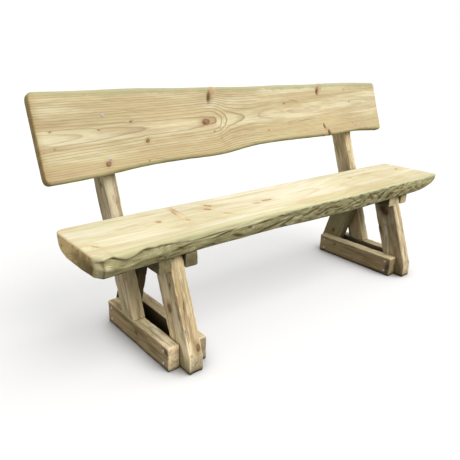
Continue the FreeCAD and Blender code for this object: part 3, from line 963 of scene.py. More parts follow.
def build_seat():
    half = SEAT_LENGTH / 2
    rows = rows_of(SEAT_LENGTH, SEAT_EASE, SEAT_SPACING)
    loops, ends, _ = bar(seat_outline, constant(-half), constant(half), rows, seat_relief)
    mesh = mesh_of("seat", loops, np.column_stack([np.eye(3), np.zeros(3)]))
    points = loops.reshape(-1, 3)
    x, y, z = points.T
    depth = SEAT_TOP - z
    front = seat_front(x)
    inland = y - front
    at_front = y < (front + seat_rear(x)) / 2
    sides = 1 - ends
    wane = step(*WANE_SPAN, depth - lip_depth(x))
    run = hump(x, RUN_PLACE, RUN_HALF) * step(RUN_LOW, 0.0, depth) * wane * at_front
    cut_face = step(*CUT_FACE, SEAT_CORNER - x - half) * at_front * sides
    tanned = band(*TAN_X, x) * band(*TAN_INLAND, inland)
    middle = band(*MIDDLE_X, x) * (1 - wane)
    # lit_lip: painted light on the lower part of the lip
    lit_lip = step(*LIT_LIP_DEPTH, depth) * (1 - wane) * at_front * sides
    # end_rim: pale rim along the end's top edge, partly wear and partly a painted highlight
    end_rim = np.minimum(9 * ends * sides, 1.0) * step(*RIM_DEPTH, depth)
    knot, swirl = knot_field(x, y, SEAT_KNOTS)
    pith_across = SEAT_PITH_ACROSS + PITH_WANDER * wander(x, 0.9, 8)
    along, across = scar_places(x, depth)
    edge = np.where(
        at_front,
        np.maximum(0.35 * step(*LIP_INLAND, inland), wane),
        0.85 * step(*REAR_BARK_DEPTH, depth),
    )
    # dirt and painted shade on the front edge, painted shade along the cut corner's arris
    stain = np.clip(front_dirt_and_shade(x, depth, wane) * at_front, 0, MOST_SEAT_DARKENING) * sides * (1 - 0.5 * run)
    # the end face darker toward its front and foot
    end_stain = END_DARKENING * ends * step(*END_DIRT_Y, y) * step(*END_DIRT_DEPTH, depth)
    bark_tone = 0.36 * step(*RIGHT_BARK_X, x) - 0.15 * step(*LEFT_BARK_X, x) + 0.15 * cut_face + 0.35 * run
    face_tone = 0.06 * middle + 0.20 * lit_lip + 0.30 * ends * step(*END_PALE_Y, y)
    dress(
        mesh,
        np.column_stack([x, y - pith_across, z - SEAT_PITH_DEEP + PITH_FALL * x]),
        np.column_stack([along, across, y]) * SEAT_FLOW,
        swirl=swirl,
        knot=knot,
        warm=1.3 * tanned - 0.9 * middle * (1 - tanned),
        edge=edge * sides,
        end=ends,
        stain=np.maximum(stain, end_stain),
        wear=np.maximum(end_rim, 0.35 * cut_face * step(*CUT_WORN_DEPTH, depth)),
        tone=0.03 * ripple(points, (0.5, 0.2, 0.2), 9) + bark_tone * wane * at_front + face_tone,
    )
    show(mesh, "seat_slab", SEAT_WOOD)


# Back board, in a frame that leans with the posts: across is up the slope, through is toward the back

BOARD_SPACING = 0.0042
BOARD_END_EASE = 0.006
BOARD_LEFT_CORNER = 0.020
BOARD_RIGHT_CORNER = 0.009
BOARD_ROUND = (0.013, 0.015, 0.010, 0.010)
BOARD_PATTERN = 0.298
BOARD_KNOTS = (
    (-0.2448, 0.7614, 0.0190, 0.0120, 0.0),
    (-0.515, 0.710, 0.0090, 0.0065, 0.5),
    (-0.567, 0.782, 0.0065, 0.0035, 0.3),
    (-0.851, 0.711, 0.0035, 0.0035, 0.0),
    (-0.854, 0.767, 0.0055, 0.0028, 0.0),
    (-0.691, 0.763, 0.0045, 0.0035, 0.0),
    (-0.682, 0.645, 0.0105, 0.0080, 0.3),
    (-0.524, 0.639, 0.0040, 0.0028, 0.0),
    (0.203, 0.814, 0.0060, 0.0035, 0.0),
    (0.083, 0.705, 0.0050, 0.0030, 0.0),
    (-0.183, 0.788, 0.0040, 0.0030, 0.0),
    (-0.209, 0.722, 0.0045, 0.0028, 0.0),
    (-0.181, 0.692, 0.0050, 0.0035, 0.0),
    (0.640, 0.868, 0.0050, 0.0030, 0.0),
    (0.690, 0.690, 0.0050, 0.0030, 0.0),
)
# spike knots of the two edges: place along, place across, half sizes, tilt
BOARD_SPIKES = (
    (-0.186, 0.880, 0.014, 0.040, -0.42),
    (0.457, 0.880, 0.014, 0.036, -0.50),
    (0.464, 0.672, 0.013, 0.026, 0.55),
)
# dark hollows beside the spike knots of the two edges: place along, place across, half sizes, tilt
BOARD_HOLLOWS = (
    (-0.209, 0.855, 0.009, 0.025, -0.30),
    (0.437, 0.863, 0.008, 0.019, -0.35),
    (0.480, 0.664, 0.009, 0.019, 0.5),
    (0.451, 0.696, 0.006, 0.014, 0.4),
)
BOARD_PITH_ACROSS = 0.771
BOARD_PITH_SLOPE = 0.033
# place along the board and depth of the pith behind its front face
BOARD_PITH = (
    (-0.90, 0.0320), (-0.756, 0.0371), (-0.518, 0.0446), (-0.40, 0.0462), (-0.30, 0.0462),
    (-0.244, 0.0448), (-0.2246, 0.0455), (-0.1885, 0.0497), (-0.162, 0.0588), (-0.135, 0.0669),
    (-0.10, 0.0706), (-0.06, 0.0733), (-0.025, 0.0746), (0.0, 0.0748), (0.017, 0.0744), (0.13, 0.0708),
    (0.235, 0.06705), (0.33, 0.0658), (0.431, 0.06705), (0.60, 0.0712), (0.75, 0.0746), (0.90, 0.0780),
)
# relief of the faces: long and short waves, swelling spike knots and dents of the hollows
BOARD_WAVES = 0.0006
BOARD_RIPPLES = 0.0003
SPIKE_SWELL = 0.0010
HOLLOW_DEPTH = 0.0045
SPIKE_RIM = (1.3, 0.6)
# bands of the marks: x along the board, others by distance from an edge, the left end or the heart line
TOP_BAND = (0.030, 0.008)
LOW_BAND = (0.013, 0.001)
LEFT_END = (0.030, 0.0)
RIPE_BELOW = (0.02, 0.10)
RIPE_ABOVE = (0.02, 0.07)
TAN_ABOVE = (0.015, 0.030, 0.050, 0.075)
TAN_LEFT_X = (-0.10, -0.30)
PALE_HEART = (0.035, 0.010)
PALE_LEFT_X = (0.10, -0.05)
LENS_HEART = (0.020, 0.008)
LENS_X = (0.18, 0.26, 0.40, 0.48)
FAINT_X = (-0.05, 0.15)
CLEAR_PLACE = -0.16
CLEAR_HALF = 0.10
DARKER_X = (0.5, 0.1)
HOLLOW_DIRT_AND_SHADE = 0.95
EYE_DIRT = 0.75
# rates of the bark's noise along, across and through the board and the straight timbers
FLOW_RATES = (12.0, 55.0, 55.0)


def board_edges(x):
    low = waves_at(BOARD_LOW_RISE, BOARD_LENGTH, x)
    high = waves_at(BOARD_HIGH_WAVE, BOARD_LENGTH, x)
    left = corner_drop(BOARD_LENGTH / 2 + x, BOARD_LEFT_CORNER)
    right = corner_drop(BOARD_LENGTH / 2 - x, BOARD_RIGHT_CORNER)
    drop = np.maximum(left, right)
    return BOARD_LOW + BOARD_RISE * low + drop, BOARD_HIGH + BOARD_WAVE * high - drop


BOARD_GRID = rounded(0.0, BOARD_PATTERN, -BOARD_THICK, 0.0, BOARD_ROUND, BOARD_SPACING)


def board_outline(share):
    """The pattern outline, stretched between the wavy edges while its rounded edges keep their size."""
    low, high = board_edges((share - 0.5) * BOARD_LENGTH)
    margin = max(BOARD_ROUND)
    across, deep = BOARD_GRID.T
    room = BOARD_PATTERN - 2 * margin
    inner = np.clip((across - margin) / room, 0, 1)
    outer = across - margin - inner * room
    return np.column_stack([low + margin + inner * (high - low - 2 * margin) + outer, deep])


def spikes_at(along, across):
    """The spike knots, 1 in their middle and 0 well outside."""
    inside = np.zeros(len(along))
    for spike in BOARD_SPIKES:
        inside = np.maximum(inside, step(*SPIKE_RIM, oval(along, across, spike)))
    return inside


def board_relief(points):
    """Gentle waves of the faces, the swelling spike knots and the dents of the hollows."""
    x = (points[:, 0] - 0.5) * BOARD_LENGTH
    across = points[:, 1]
    spots = np.column_stack([x, points[:, 1:]])
    waves = BOARD_WAVES * ripple(spots, (0.30, 0.09, 0.09), 5)
    ripples = BOARD_RIPPLES * ripple(spots, (0.06, 0.03, 0.03), 6)
    dents = HOLLOW_DEPTH * hollows_at(x, across, BOARD_HOLLOWS)
    return waves + ripples + SPIKE_SWELL * spikes_at(x, across) - dents


def leaning(origin, lean, toward=1):
    """Frame of a leg or post: along is up its slope, across toward the back (1) or the front (-1)."""
    up = (0.0, toward * math.sin(lean), math.cos(lean))
    across = (0.0, toward * math.cos(lean), -math.sin(lean))
    return np.array((up, across, (1.0, 0.0, 0.0), origin), float).T


def across_posts(x):
    """Frame of what is fixed across the posts: along the bench, up the slope, toward the back."""
    return leaning((x, POST_FRONT, 0.0), POST_LEAN)[:, [2, 0, 1, 3]]


def board_warmth(x, heart_line):
    """Ripe wood below the heart line and some above it, a tanned streak, and pale wood along the line."""
    away = np.abs(heart_line)
    ripe = 1.35 * step(*RIPE_BELOW, -heart_line) + 0.5 * step(*RIPE_ABOVE, heart_line)
    tanned = band(*TAN_ABOVE, heart_line) * step(*TAN_LEFT_X, x)
    pale = step(*PALE_HEART, away) * step(*PALE_LEFT_X, x)
    lens = step(*LENS_HEART, away) * band(*LENS_X, x)
    return ripe + 0.7 * tanned - 0.8 * pale - 1.2 * lens


def build_board():
    half = BOARD_LENGTH / 2
    rows = rows_of(BOARD_LENGTH, BOARD_END_EASE, BOARD_SPACING)
    loops, ends, corners = bar(board_outline, constant(-half), constant(half), rows, board_relief)
    mesh = mesh_of("backrest", loops, across_posts(0.0))
    points = loops.reshape(-1, 3)
    x, s, deep = points.T
    low, high = board_edges(x)
    knot, swirl = knot_field(x, s, BOARD_KNOTS)
    pith = through(*np.array(BOARD_PITH).T, x)
    heart_line = s - BOARD_PITH_ACROSS - BOARD_PITH_SLOPE * x
    ragged = 0.005 * wander(x, 0.12, 31) + 0.003 * wander(x, 0.03, 32)
    top_band = step(*TOP_BAND, high - s + ragged)
    low_band = step(*LOW_BAND, s - low + ragged / 2)
    left_end = step(*LEFT_END, x + half)
    # the hollows' dents are darkened: dark wood and painted shade
    hollows = HOLLOW_DIRT_AND_SHADE * hollows_at(x, s, BOARD_HOLLOWS)
    uneven = 0.03 * ripple(points, (0.5, 0.12, 0.12), 10)
    dress(
        mesh,
        np.column_stack([x, heart_line, deep + BOARD_THICK - pith]),
        points * FLOW_RATES,
        swirl=swirl,
        faint=0.5 * step(*FAINT_X, x) - 0.45 * hump(x, CLEAR_PLACE, CLEAR_HALF),
        knot=knot,
        branch=spikes_at(x, s),
        warm=board_warmth(x, heart_line),
        edge=np.maximum(0.40 * top_band, 0.80 * low_band),
        end=np.clip(ends + 0.4 * left_end, 0, 1),
        stain=np.maximum(hollows, EYE_DIRT * knot_eyes(x, s, BOARD_KNOTS)),
        wear=corners * ends,
        tone=uneven - 0.03 * left_end - 0.035 * step(*DARKER_X, x),
    )
    show(mesh, "back_board", BOARD_WOOD)


# Straight timbers of the two trestles

PLANK_EASE = 0.0042
PLANK_SPACING = 0.006
PLANK_WAVES = 0.0005
PLANK_RIPPLES = 0.0003
CHIP_DEPTH = 0.0022
CHIP_REACH = 0.008
CHIP_SPAN = (0.1, 1.0)
# how near a face its skin is, and how long the back end of a top face is
FACE_SKIN = (0.006, 0.001)
GAP_SHADE_SKIN = 0.004
MOSS_SKIN = (0.010, 0.002)
BACK_REACH = 0.090
# bands of the marks by height above the floor
ABOVE_SEAT = (SEAT_TOP - 0.03, SEAT_TOP + 0.03)
RISE_HEIGHT = (0.05, SEAT_UNDER)
TOE_HEIGHT = (TOE_CUT * 3.0, TOE_CUT * 2.4)
FOOT_HEIGHT = (0.016, 0.003)
GREEN_HEIGHT = (0.10, 0.0)
SHADE_HEIGHT = (0.08, 0.36)
SHADE_TOP = SEAT_UNDER + 0.002
# how squarely a face is turned to the shaded side
FORWARD_SPAN = (0.3, 0.7)
# strength of each darkening: painted shade in the gap between the rails, darker along the foot, dark knot
# eyes, and the most of all together
GAP_SHADE = 0.60
FOOT_DARKENING = 0.75
TIMBER_EYE_DIRT = 0.6
MOST_TIMBER_DARKENING = 0.85
# ranges of a timber's random grain: start along it, pith across and through in sizes of it, slope
GRAIN_START = (0, 9)
PITH_ACROSS = (-0.2, 1.2)
PITH_THROUGH = (0.7, 1.4)
PITH_SLOPE = (-0.03, 0.03)
# knots on the sides or the narrow faces: which, then place along, place across, half sizes, tilt
TIMBER_KNOTS = {
    "front_leg_left": (
        ("side", 0.230, 0.062, 0.015, 0.010, 0.0),
        ("face", 0.090, 0.012, 0.013, 0.008, 0.0),
        ("face", 0.071, -0.019, 0.004, 0.004, 0.0),
    ),
    "front_leg_right": (
        ("side", 0.335, 0.050, 0.024, 0.015, 0.3),
        ("face", 0.074, 0.017, 0.006, 0.005, 0.0),
    ),
    "back_post_left": (
        ("side", 0.585, 0.030, 0.007, 0.005, 0.0),
        ("face", 0.515, 0.008, 0.004, 0.0035, 0.0),
    ),
    "back_post_right": (
        ("side", 0.610, 0.070, 0.006, 0.004, 0.0),
        ("face", 0.560, -0.010, 0.005, 0.004, 0.0),
    ),
    "rear_leg_left": (("side", 0.190, 0.040, 0.013, 0.009, 0.0),),
    "rear_leg_right": (("side", 0.140, 0.055, 0.010, 0.007, 0.0),),
    "bottom_rail_left_outer": (
        ("side", 0.205, 0.052, 0.010, 0.006, 0.0),
        ("side", 0.010, 0.070, 0.013, 0.009, 0.4),
    ),
    "bottom_rail_left_inner": (("side", 0.120, 0.040, 0.010, 0.007, 0.0),),
    "bottom_rail_right_outer": (("side", 0.170, 0.036, 0.010, 0.007, 0.0),),
    "bottom_rail_right_inner": (("side", 0.330, 0.060, 0.007, 0.005, 0.0),),
}
# tufts of moss on the front faces: place along, place across, half sizes, tilt
TIMBER_MOSS = {"front_leg_right": ((0.229, 0.012, 0.011, 0.008, 0.0),)}
# dark smudges on the left sides, painted shade near the top of the right front leg and darker patches of
# the wood on the rails: place along, place across, half sizes, tilt
TIMBER_SMUDGES = {
    "front_leg_right": (
        (0.345, 0.066, 0.028, 0.014, 0.4),
        (0.365, 0.030, 0.014, 0.030, 0.0),
        (0.250, 0.094, 0.030, 0.006, 0.1),
    ),
    "bottom_rail_left_outer": (
        (0.310, 0.071, 0.100, 0.009, 0.00),
        (0.190, 0.063, 0.090, 0.006, 0.03),
        (0.110, 0.050, 0.080, 0.005, 0.00),
        (0.250, 0.041, 0.120, 0.004, 0.02),
        (0.070, 0.030, 0.060, 0.003, 0.00),
    ),
    "bottom_rail_right_inner": (
        (0.012, 0.040, 0.014, 0.034, 0.2),
        (0.075, 0.004, 0.050, 0.007, 0.0),
    ),
}
# lighter and darker timbers: the whole, its left and top faces, the back end of its top, the faces toward
# the shaded side, the part above the seat, the gain toward the seat and the toe; then two tints, the
# painted shade near the seat, the strength of its smudges and how freshly cut its ends look. Much of this
# is painted
# light and shade: the left faces made lighter or darker, the back end of the top lighter, the faces toward
# the shaded side and the part above the seat darker, the gain toward the seat lighter, and partly the
# paler tops and the darker whole of the rear legs and the left top rails
PLAIN_TONES = {
    "whole": 0.0, "left": 0.0, "top": 0.0, "back": 0.0,
    "forward": 0.0, "above": 0.0, "rise": 0.0, "toe": 0.0,
    "olive": 0.0, "brown": 0.0, "shade": 0.0, "smudge": 0.8, "cut": 1.0,
}
TIMBER_TONES = {
    "front_leg_left": {"whole": 0.22, "left": 0.55, "rise": 0.14, "toe": -0.36, "shade": 0.04},
    "front_leg_right": {"whole": 0.20, "left": -0.25, "rise": 0.10, "toe": -0.12},
    "rear_leg_left": {"whole": -0.12, "forward": -0.60, "olive": 0.1, "shade": 0.65},
    "rear_leg_right": {"whole": -0.10, "forward": -0.28, "olive": 0.30, "shade": 0.30},
    "back_post_left": {"whole": 0.19, "left": 0.18, "above": -0.36, "shade": 0.08},
    "back_post_right": {"whole": 0.06, "left": 0.14, "shade": 0.60},
    "bottom_rail_left_outer": {
        "whole": 0.44, "left": -0.20, "top": -0.08, "back": 0.9, "brown": 1.3, "smudge": 0.42,
    },
    "bottom_rail_left_inner": {"whole": -0.26, "top": 0.38},
    "bottom_rail_right_outer": {"whole": -0.05, "top": 0.15},
    "bottom_rail_right_inner": {"whole": 0.03, "left": -0.04, "top": 0.38, "brown": 1.0, "cut": 0.0},
    "top_rail_left_outer": {"whole": -0.36, "olive": 0.8, "shade": 0.05},
    "top_rail_left_inner": {"whole": -0.47, "olive": 0.8, "shade": 0.05},
    "top_rail_right_outer": {"whole": 0.08, "olive": 0.4},
    "top_rail_right_inner": {"whole": 0.22, "left": -0.85, "olive": 0.3, "shade": 0.05},
}
# direction of the side whose faces take painted shade
SHADED_SIDE = np.array((-0.65, -0.76, 0.0))


def level(height, lean):
    """Place along a sloping timber where a level cut at the height meets it."""
    return lambda u: (height + u * math.sin(lean)) / math.cos(lean)


def footed(lean):
    """A level cut on the floor with the toe cut off plumb."""
    return lambda u: np.maximum(u * math.tan(lean), (TOE_CUT - u * math.cos(lean)) / math.sin(lean))


def plank_relief(length, width, thick, shift, seed):
    """Slightly uneven faces and chipped corners of a straight timber."""
    def relief(points):
        spots = points * (length, 1, 1) + shift
        from_edge = np.minimum(points[:, 1], width - points[:, 1])
        from_face = thick / 2 - np.abs(points[:, 2])
        at_corner = step(CHIP_REACH, 0.0, from_edge) * step(CHIP_REACH, 0.0, from_face)
        chips = CHIP_DEPTH * at_corner * step(*CHIP_SPAN, ripple(spots, (0.05, 0.05, 0.05), seed + 3))
        waves = PLANK_WAVES * ripple(spots, (0.14, 0.05, 0.05), seed)
        ripples = PLANK_RIPPLES * ripple(spots, (0.04, 0.02, 0.02), seed + 1)
        return waves + ripples - chips

    return relief


def timber_knots(node, along, u, v):
    """Nearness, push and dark eyes of the knots on a timber's sides and narrow faces."""
    nearest = np.full(len(along), NO_KNOT)
    swirl = np.zeros(len(along))
    eyes = np.zeros(len(along))
    for face, across in (("side", u), ("face", v)):
        knots = [knot[1:] for knot in TIMBER_KNOTS.get(node, ()) if knot[0] == face]
        near, push = knot_field(along, across, knots)
        nearest = np.minimum(nearest, near)
        swirl = swirl + push
        eyes = eyes + TIMBER_EYE_DIRT * knot_eyes(along, across, knots)
    return nearest, swirl, eyes


def straight(node, place, width, thick, low, high, seed, gap_side=0):
    """A planed timber with eased and chipped corners, slightly uneven faces and its own grain."""
    random = np.random.default_rng(seed)
    grid = rounded(0.0, width, -thick / 2, thick / 2, (PLANK_EASE,) * 4, PLANK_SPACING)
    length = float(high(width / 2) - low(width / 2))
    shift = random.uniform(*GRAIN_START)
    rows = rows_of(length, PLANK_EASE, PLANK_SPACING)
    relief = plank_relief(length, width, thick, shift, seed)
    loops, ends, corners = bar(lambda share: grid, low, high, rows, relief)
    mesh = mesh_of(node + "_wood", loops, place)
    points = loops.reshape(-1, 3)
    along, u, v = points.T
    height = (points @ place[:, :3].T + place[:, 3])[:, 2]
    nearest, swirl, eyes = timber_knots(node, along, u, v)
    pith_u = random.uniform(*PITH_ACROSS) * width
    pith_v = random.choice((-1, 1)) * thick * random.uniform(*PITH_THROUGH)
    slope = random.uniform(*PITH_SLOPE)
    normals = np.empty(points.size, np.float32)
    mesh.vertices.foreach_get("normal", normals)
    forward = step(*FORWARD_SPAN, normals.reshape(-1, 3) @ SHADED_SIDE)
    on_left = step(*FACE_SKIN, v + thick / 2)
    on_top = step(*FACE_SKIN, width - u)
    tones = PLAIN_TONES | TIMBER_TONES[node]
    shares = {
        "whole": 1.0,
        "left": on_left,
        "top": on_top,
        "forward": forward,
        "above": step(*ABOVE_SEAT, height),
        "back": on_top * step(length - BACK_REACH, length, along),
        "rise": (1 - on_left) * step(*RISE_HEIGHT, height),
        "toe": step(*TOE_HEIGHT, height),
    }
    # painted light and shade by face and by height, with each timber's own tone
    tone = sum(tones[name] * share for name, share in shares.items())
    uneven = 0.08 * ripple(points + shift, (0.25, 0.045, 0.045), seed + 2)
    # painted shade on the face that looks into the gap between a trestle's two bottom rails
    gap_shade = GAP_SHADE * step(thick / 2 - GAP_SHADE_SKIN, thick / 2, v * gap_side)
    # smudges: painted shade near the top of the right front leg, darker wood on the rails
    smudged = tones["smudge"] * hollows_at(along, u, TIMBER_SMUDGES.get(node, ()))
    smudged = smudged * step(0.0, -0.01, v) * (1 - 0.5 * ends)
    moss = hollows_at(along, v, TIMBER_MOSS.get(node, ())) * step(*MOSS_SKIN, u)
    # darker along the foot, near the floor
    foot = FOOT_DARKENING * step(*FOOT_HEIGHT, height)
    # painted shade below the seat, on the faces turned to the shaded side
    shaded = tones["shade"] * forward * step(*SHADE_HEIGHT, height) * (height < SHADE_TOP)
    dress(
        mesh,
        np.column_stack([along + shift, u - pith_u + slope * along, v - pith_v - slope * along]),
        points * FLOW_RATES + shift,
        swirl=swirl,
        knot=nearest,
        branch=moss,
        warm=2.0 * tones["brown"] * (1 - on_top),
        edge=np.maximum(tones["olive"], 0.30 * step(*GREEN_HEIGHT, height) * (1 - tones["brown"])),
        end=ends * (1 - tones["olive"]) * tones["cut"],
        stain=np.clip(np.maximum(gap_shade, foot) + shaded + smudged + eyes, 0, MOST_TIMBER_DARKENING),
        wear=np.maximum(corners, tones["top"] * on_top),
        tone=tone + uneven,
    )
    show(mesh, node, FRAME_WOOD)


def lying(origin):
    """Frame of a rail that runs from front to back."""
    columns = ((0.0, 1.0, 0.0), (0.0, 0.0, 1.0), (1.0, 0.0, 0.0), origin)
    return np.array(columns, float).T


def build_trestle(side, sign, seed):
    leg_x = sign * (LEG_OUTER + LEG_INNER) / 2
    outer_x = sign * (OUTER_FACE + LEG_OUTER) / 2
    inner_x = sign * (INNER_FACE + LEG_INNER) / 2
    front_place = leaning((leg_x, FRONT_LEG_FOOT, 0.0), FRONT_LEG_LEAN)
    rear_place = leaning((leg_x, REAR_LEG_FOOT, 0.0), REAR_LEG_LEAN, -1)
    post_place = leaning((outer_x, POST_FRONT, 0.0), POST_LEAN)
    straight("front_leg_" + side, front_place, LEG_WIDTH, LEG_THICK,
             footed(FRONT_LEG_LEAN), level(SEAT_UNDER, FRONT_LEG_LEAN), seed)
    straight("rear_leg_" + side, rear_place, LEG_WIDTH, LEG_THICK,
             footed(REAR_LEG_LEAN), level(SEAT_UNDER, REAR_LEG_LEAN), seed + 10)
    straight("back_post_" + side, post_place, POST_WIDTH, PLANK_THICK,
             level(RAIL_HEIGHT, POST_LEAN), constant(POST_TOP), seed + 20)
    ranks = (
        ("outer", outer_x, -sign, RAIL_FRONT, seed + 30),
        ("inner", inner_x, sign, INNER_RAIL_FRONT, seed + 50),
    )
    for rank, x, gap_side, front, rail_seed in ranks:
        low_place = lying((x, front, 0.0))
        top_place = lying((x, TOP_RAIL_FRONT, TOP_RAIL_UNDER))
        straight(f"bottom_rail_{side}_{rank}", low_place, RAIL_HEIGHT, PLANK_THICK,
                 constant(0.0), constant(RAIL_BACK - front), rail_seed, gap_side)
        straight(f"top_rail_{side}_{rank}", top_place, TOP_RAIL_HEIGHT, PLANK_THICK,
                 constant(0.0), constant(TOP_RAIL_LENGTH), rail_seed + 10)


# Screws: low domed heads a little proud of the wood, with a six-sided socket

SCREW_SIDES = 24
# shape, radius and height of each ring from the socket's floor to the neck
HEAD_RINGS = (
    ("hex", 0.0020, 0.0010),
    ("hex", 0.0023, 0.0019),
    ("round", 0.0033, 0.0022),
    ("round", 0.0048, 0.0019),
    ("round", 0.0055, 0.0012),
    ("round", 0.0057, 0.0000),
    ("round", 0.0042, -0.0022),
    ("round", 0.0028, -0.0036),
)
# length and brightness of the screws in each group; the brightness is painted light, highest on the
# rails' heads so that they glint and lowest on the board's
SCREW_GROUPS = {
    "bottom_rail_screws": (0.068, 1.0),
    "top_rail_screws": (0.068, 0.8),
    "seat_screws": (0.085, 0.8),
    "post_screws": (0.068, 0.9),
    "board_screws": (0.079, 0.60),
}
SOCKET_SHADE = 0.45
SHARP_ANGLE = math.radians(40)
SHANK_RADIUS = 0.0028
TIP_LENGTH = 0.007
TIP_RADIUS = 0.0003
RAIL_SCREW_END = 0.029
RAIL_SCREW_EDGE = 0.022
TOP_SCREW_END = 0.025
POST_SCREW_PLACE = (0.071, 0.212)
BOARD_SCREW_UP = 0.809
BOARD_SCREW_LOW = {-1: 0.6594, 1: 0.7041}


def screw_points(length):
    """Rings of a screw that points along -Z from its head at the origin."""
    turns = np.linspace(0, 2 * math.pi, SCREW_SIDES, endpoint=False)
    sixth = np.mod(turns, math.pi / 3) - math.pi / 6
    hexagon = math.cos(math.pi / 6) / np.cos(sixth)
    rings = list(HEAD_RINGS)
    rings.append(("round", SHANK_RADIUS, TIP_LENGTH - length))
    rings.append(("round", TIP_RADIUS, -length))
    loops = []
    for shape, radius, height in rings:
        reach = radius * (hexagon if shape == "hex" else 1.0)
        loops.append(np.column_stack([reach * np.cos(turns), reach * np.sin(turns), turns * 0 + height]))
    return np.array(loops)


def screw_place(head, into):
    """Frame of a screw whose head is at a point and whose tip points the other way."""
    out = -Vector(into).normalized()
    turn = out.to_track_quat("Z", "Y").to_matrix()
    return np.column_stack([np.array(turn), np.array(head, float)])


def build_screws(node, screws):
    """One piece with every screw of a group."""
    length, tone = SCREW_GROUPS[node]
    loops = screw_points(length)
    points = []
    faces = []
    for head, into in screws:
        single = mesh_of("screw", loops, screw_place(head, into))
        start = len(points)
        points.extend(vertex.co.copy() for vertex in single.vertices)
        faces.extend([start + index for index in polygon.vertices] for polygon in single.polygons)
        bpy.data.meshes.remove(single)
    mesh = bpy.data.meshes.new(node + "_heads")
    mesh.from_pydata(points, [], faces)
    mesh.polygons.foreach_set("use_smooth", [True] * len(mesh.polygons))
    mesh.set_sharp_from_angle(angle=SHARP_ANGLE)
    attribute = mesh.attributes.new("tone", "FLOAT", "POINT")
    # each group's tone is painted light; the socket's floor is painted shade
    shade = np.full(loops.shape[:2], tone, np.float32)
    shade[0] *= SOCKET_SHADE
    attribute.data.foreach_set("value", np.tile(shade.ravel(), len(screws)))
    show(mesh, node, STEEL)


def build_all_screws():
    bottom = []
    top = []
    seat = []
    post = []
    board = []
    top_middle = TOP_RAIL_UNDER + TOP_RAIL_HEIGHT / 2
    half_leg = LEG_WIDTH / 2 / math.cos(FRONT_LEG_LEAN)
    leg_middle = FRONT_LEG_FOOT + half_leg + top_middle * math.tan(FRONT_LEG_LEAN)
    top_back = TOP_RAIL_FRONT + TOP_RAIL_LENGTH
    for sign in (-1, 1):
        faces = (
            (OUTER_FACE, -sign, (OUTER_FACE + LEG_OUTER) / 2, RAIL_FRONT),
            (INNER_FACE, sign, (INNER_FACE + LEG_INNER) / 2, INNER_RAIL_FRONT),
        )
        for face, into, middle, front in faces:
            x = sign * face
            for y in (front + RAIL_SCREW_END, RAIL_BACK - RAIL_SCREW_END):
                for z in (RAIL_SCREW_EDGE, RAIL_HEIGHT - RAIL_SCREW_EDGE):
                    bottom.append(((x, y, z), (into, 0, 0)))
            for y in (leg_middle, top_back - TOP_SCREW_END):
                top.append(((x, y, top_middle), (into, 0, 0)))
            rail_middle = TOP_RAIL_FRONT + TOP_RAIL_LENGTH / 2
            for y in (TOP_RAIL_FRONT + TOP_SCREW_END, rail_middle + TOP_SCREW_END):
                seat.append(((sign * middle, y, TOP_RAIL_UNDER), (0, 0, 1)))
        post.append(((sign * OUTER_FACE, *POST_SCREW_PLACE), (-sign, 0, 0)))
        place = across_posts(sign * (OUTER_FACE + LEG_OUTER) / 2)
        for up in (BOARD_SCREW_UP, BOARD_SCREW_LOW[sign]):
            head = place[:, :3] @ np.array((0.0, up, -BOARD_THICK)) + place[:, 3]
            board.append((tuple(head), tuple(place[:, 2])))
    for node, screws in zip(SCREW_GROUPS, (bottom, top, seat, post, board)):
        build_screws(node, screws)


# Floor, light and camera

FLOOR_HALF = 14.0
FLOOR_LEVEL = -0.0005
FLOOR_WHITE = (0.96, 0.96, 0.96)
FLOOR_GLOW = 0.38
GLOW_STRENGTH = 0.98
# painted contact shadow: the glow fades where the floor is shut in by timber
CONTACT_REACH = 0.14
CONTACT_OPEN = (0.39, 0.93)
CONTACT_SAMPLES = 12
FLOOR_BOUNCE = (0.13, 0.13, 0.125)
# direction to the light, strength, angular width
KEY_LIGHT = (Vector((0.20, -0.60, 0.78)), 1.80, math.radians(45))
SIDE_LIGHT = (Vector((0.80, -0.20, 0.56)), 0.85, math.radians(55))
LAMP_COLOUR = (1.0, 0.985, 0.96)
SKY_STRENGTH = 0.60
# the lens, as the focal length in pixels of a picture of the given width
LENS_PIXELS = 484.5
PICTURE_PIXELS = 460.0
SENSOR = 36.0
CAMERA_PLACE = Vector((-1.4048, -1.3803, 0.9755))
CAMERA_HEADING = -0.7033
CAMERA_PITCH = 0.3451
CAMERA_ROLL = 0.0267


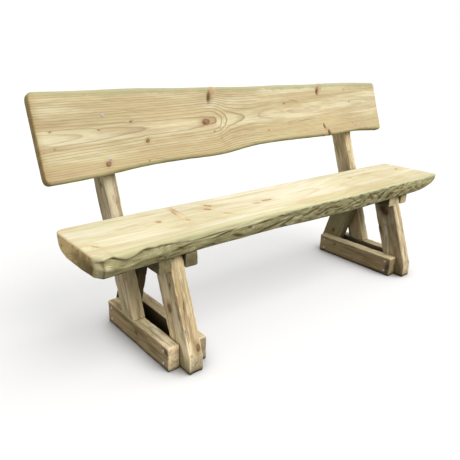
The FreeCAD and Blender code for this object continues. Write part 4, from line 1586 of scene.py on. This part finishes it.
def add_floor():
    """A pale floor that keeps the shadow, shows white, has a painted contact shadow by the timber and
    throws little light back.
    """
    mesh = bpy.data.meshes.new("floor")
    reach = FLOOR_HALF
    turns = ((-1, -1), (1, -1), (1, 1), (-1, 1))
    corners = [(reach * x, reach * y, FLOOR_LEVEL) for x, y in turns]
    mesh.from_pydata(corners, [], [(0, 1, 2, 3)])
    floor = add_object("floor", mesh)
    g = Graph("floor")
    seen = g.add("ShaderNodeLightPath", {}).outputs["Is Camera Ray"]
    white = g.add("ShaderNodeBsdfDiffuse", {"Color": FLOOR_WHITE}).outputs[0]
    # painted contact shadow: ambient occlusion dims the glow near the timber
    open_air = g.add("ShaderNodeAmbientOcclusion", {"Distance": CONTACT_REACH}, samples=CONTACT_SAMPLES)
    strength = g.span(open_air.outputs["AO"], *CONTACT_OPEN, 0.0, GLOW_STRENGTH)
    glow = g.add("ShaderNodeEmission", {"Color": (1.0, 1.0, 1.0), "Strength": strength}).outputs[0]
    dull = g.add("ShaderNodeBsdfDiffuse", {"Color": FLOOR_BOUNCE}).outputs[0]
    pale = g.add("ShaderNodeMixShader", {0: FLOOR_GLOW, 1: white, 2: glow}).outputs[0]
    shown = g.add("ShaderNodeMixShader", {0: seen, 1: dull, 2: pale}).outputs[0]
    g.put(g.tree.nodes["Material Output"].inputs["Surface"], shown)
    mesh.materials.append(g.material)


def add_lamp(name, toward, strength, angle):
    lamp = bpy.data.lights.new(name, "SUN")
    lamp.energy = strength
    lamp.angle = angle
    lamp.color = LAMP_COLOUR
    holder = add_object(name, lamp)
    holder.rotation_mode = "QUATERNION"
    holder.rotation_quaternion = toward.to_track_quat("Z", "Y")


def add_world():
    """Even white light, and plain white behind everything."""
    world = bpy.data.worlds.new("studio")
    bpy.context.scene.world = world
    world.use_nodes = True
    tree = world.node_tree
    sky = tree.nodes["Background"]
    sky.inputs["Color"].default_value = (1.0, 1.0, 1.0, 1.0)
    sky.inputs["Strength"].default_value = SKY_STRENGTH
    white = tree.nodes.new("ShaderNodeBackground")
    white.inputs["Strength"].default_value = 1.0
    white.inputs["Color"].default_value = (1.0, 1.0, 1.0, 1.0)
    path = tree.nodes.new("ShaderNodeLightPath")
    blend = tree.nodes.new("ShaderNodeMixShader")
    tree.links.new(path.outputs["Is Camera Ray"], blend.inputs[0])
    tree.links.new(sky.outputs[0], blend.inputs[1])
    tree.links.new(white.outputs[0], blend.inputs[2])
    tree.links.new(blend.outputs[0], tree.nodes["World Output"].inputs["Surface"])


def add_camera():
    """The photograph's camera."""
    data = bpy.data.cameras.new("camera")
    data.sensor_width = SENSOR
    data.lens = SENSOR * LENS_PIXELS / PICTURE_PIXELS
    camera = add_object("camera", data)
    turn = (
        Matrix.Rotation(CAMERA_HEADING, 4, "Z")
        @ Matrix.Rotation(math.pi / 2 - CAMERA_PITCH, 4, "X")
        @ Matrix.Rotation(CAMERA_ROLL, 4, "Z")
    )
    camera.matrix_world = Matrix.Translation(CAMERA_PLACE) @ turn
    bpy.context.scene.camera = camera


build_seat()
build_board()
build_trestle("left", -1, 100)
build_trestle("right", 1, 300)
build_all_screws()
add_floor()
add_lamp("key", *KEY_LIGHT)
add_lamp("side", *SIDE_LIGHT)
add_world()
add_camera()
bpy.context.scene.view_settings.view_transform = "Standard"
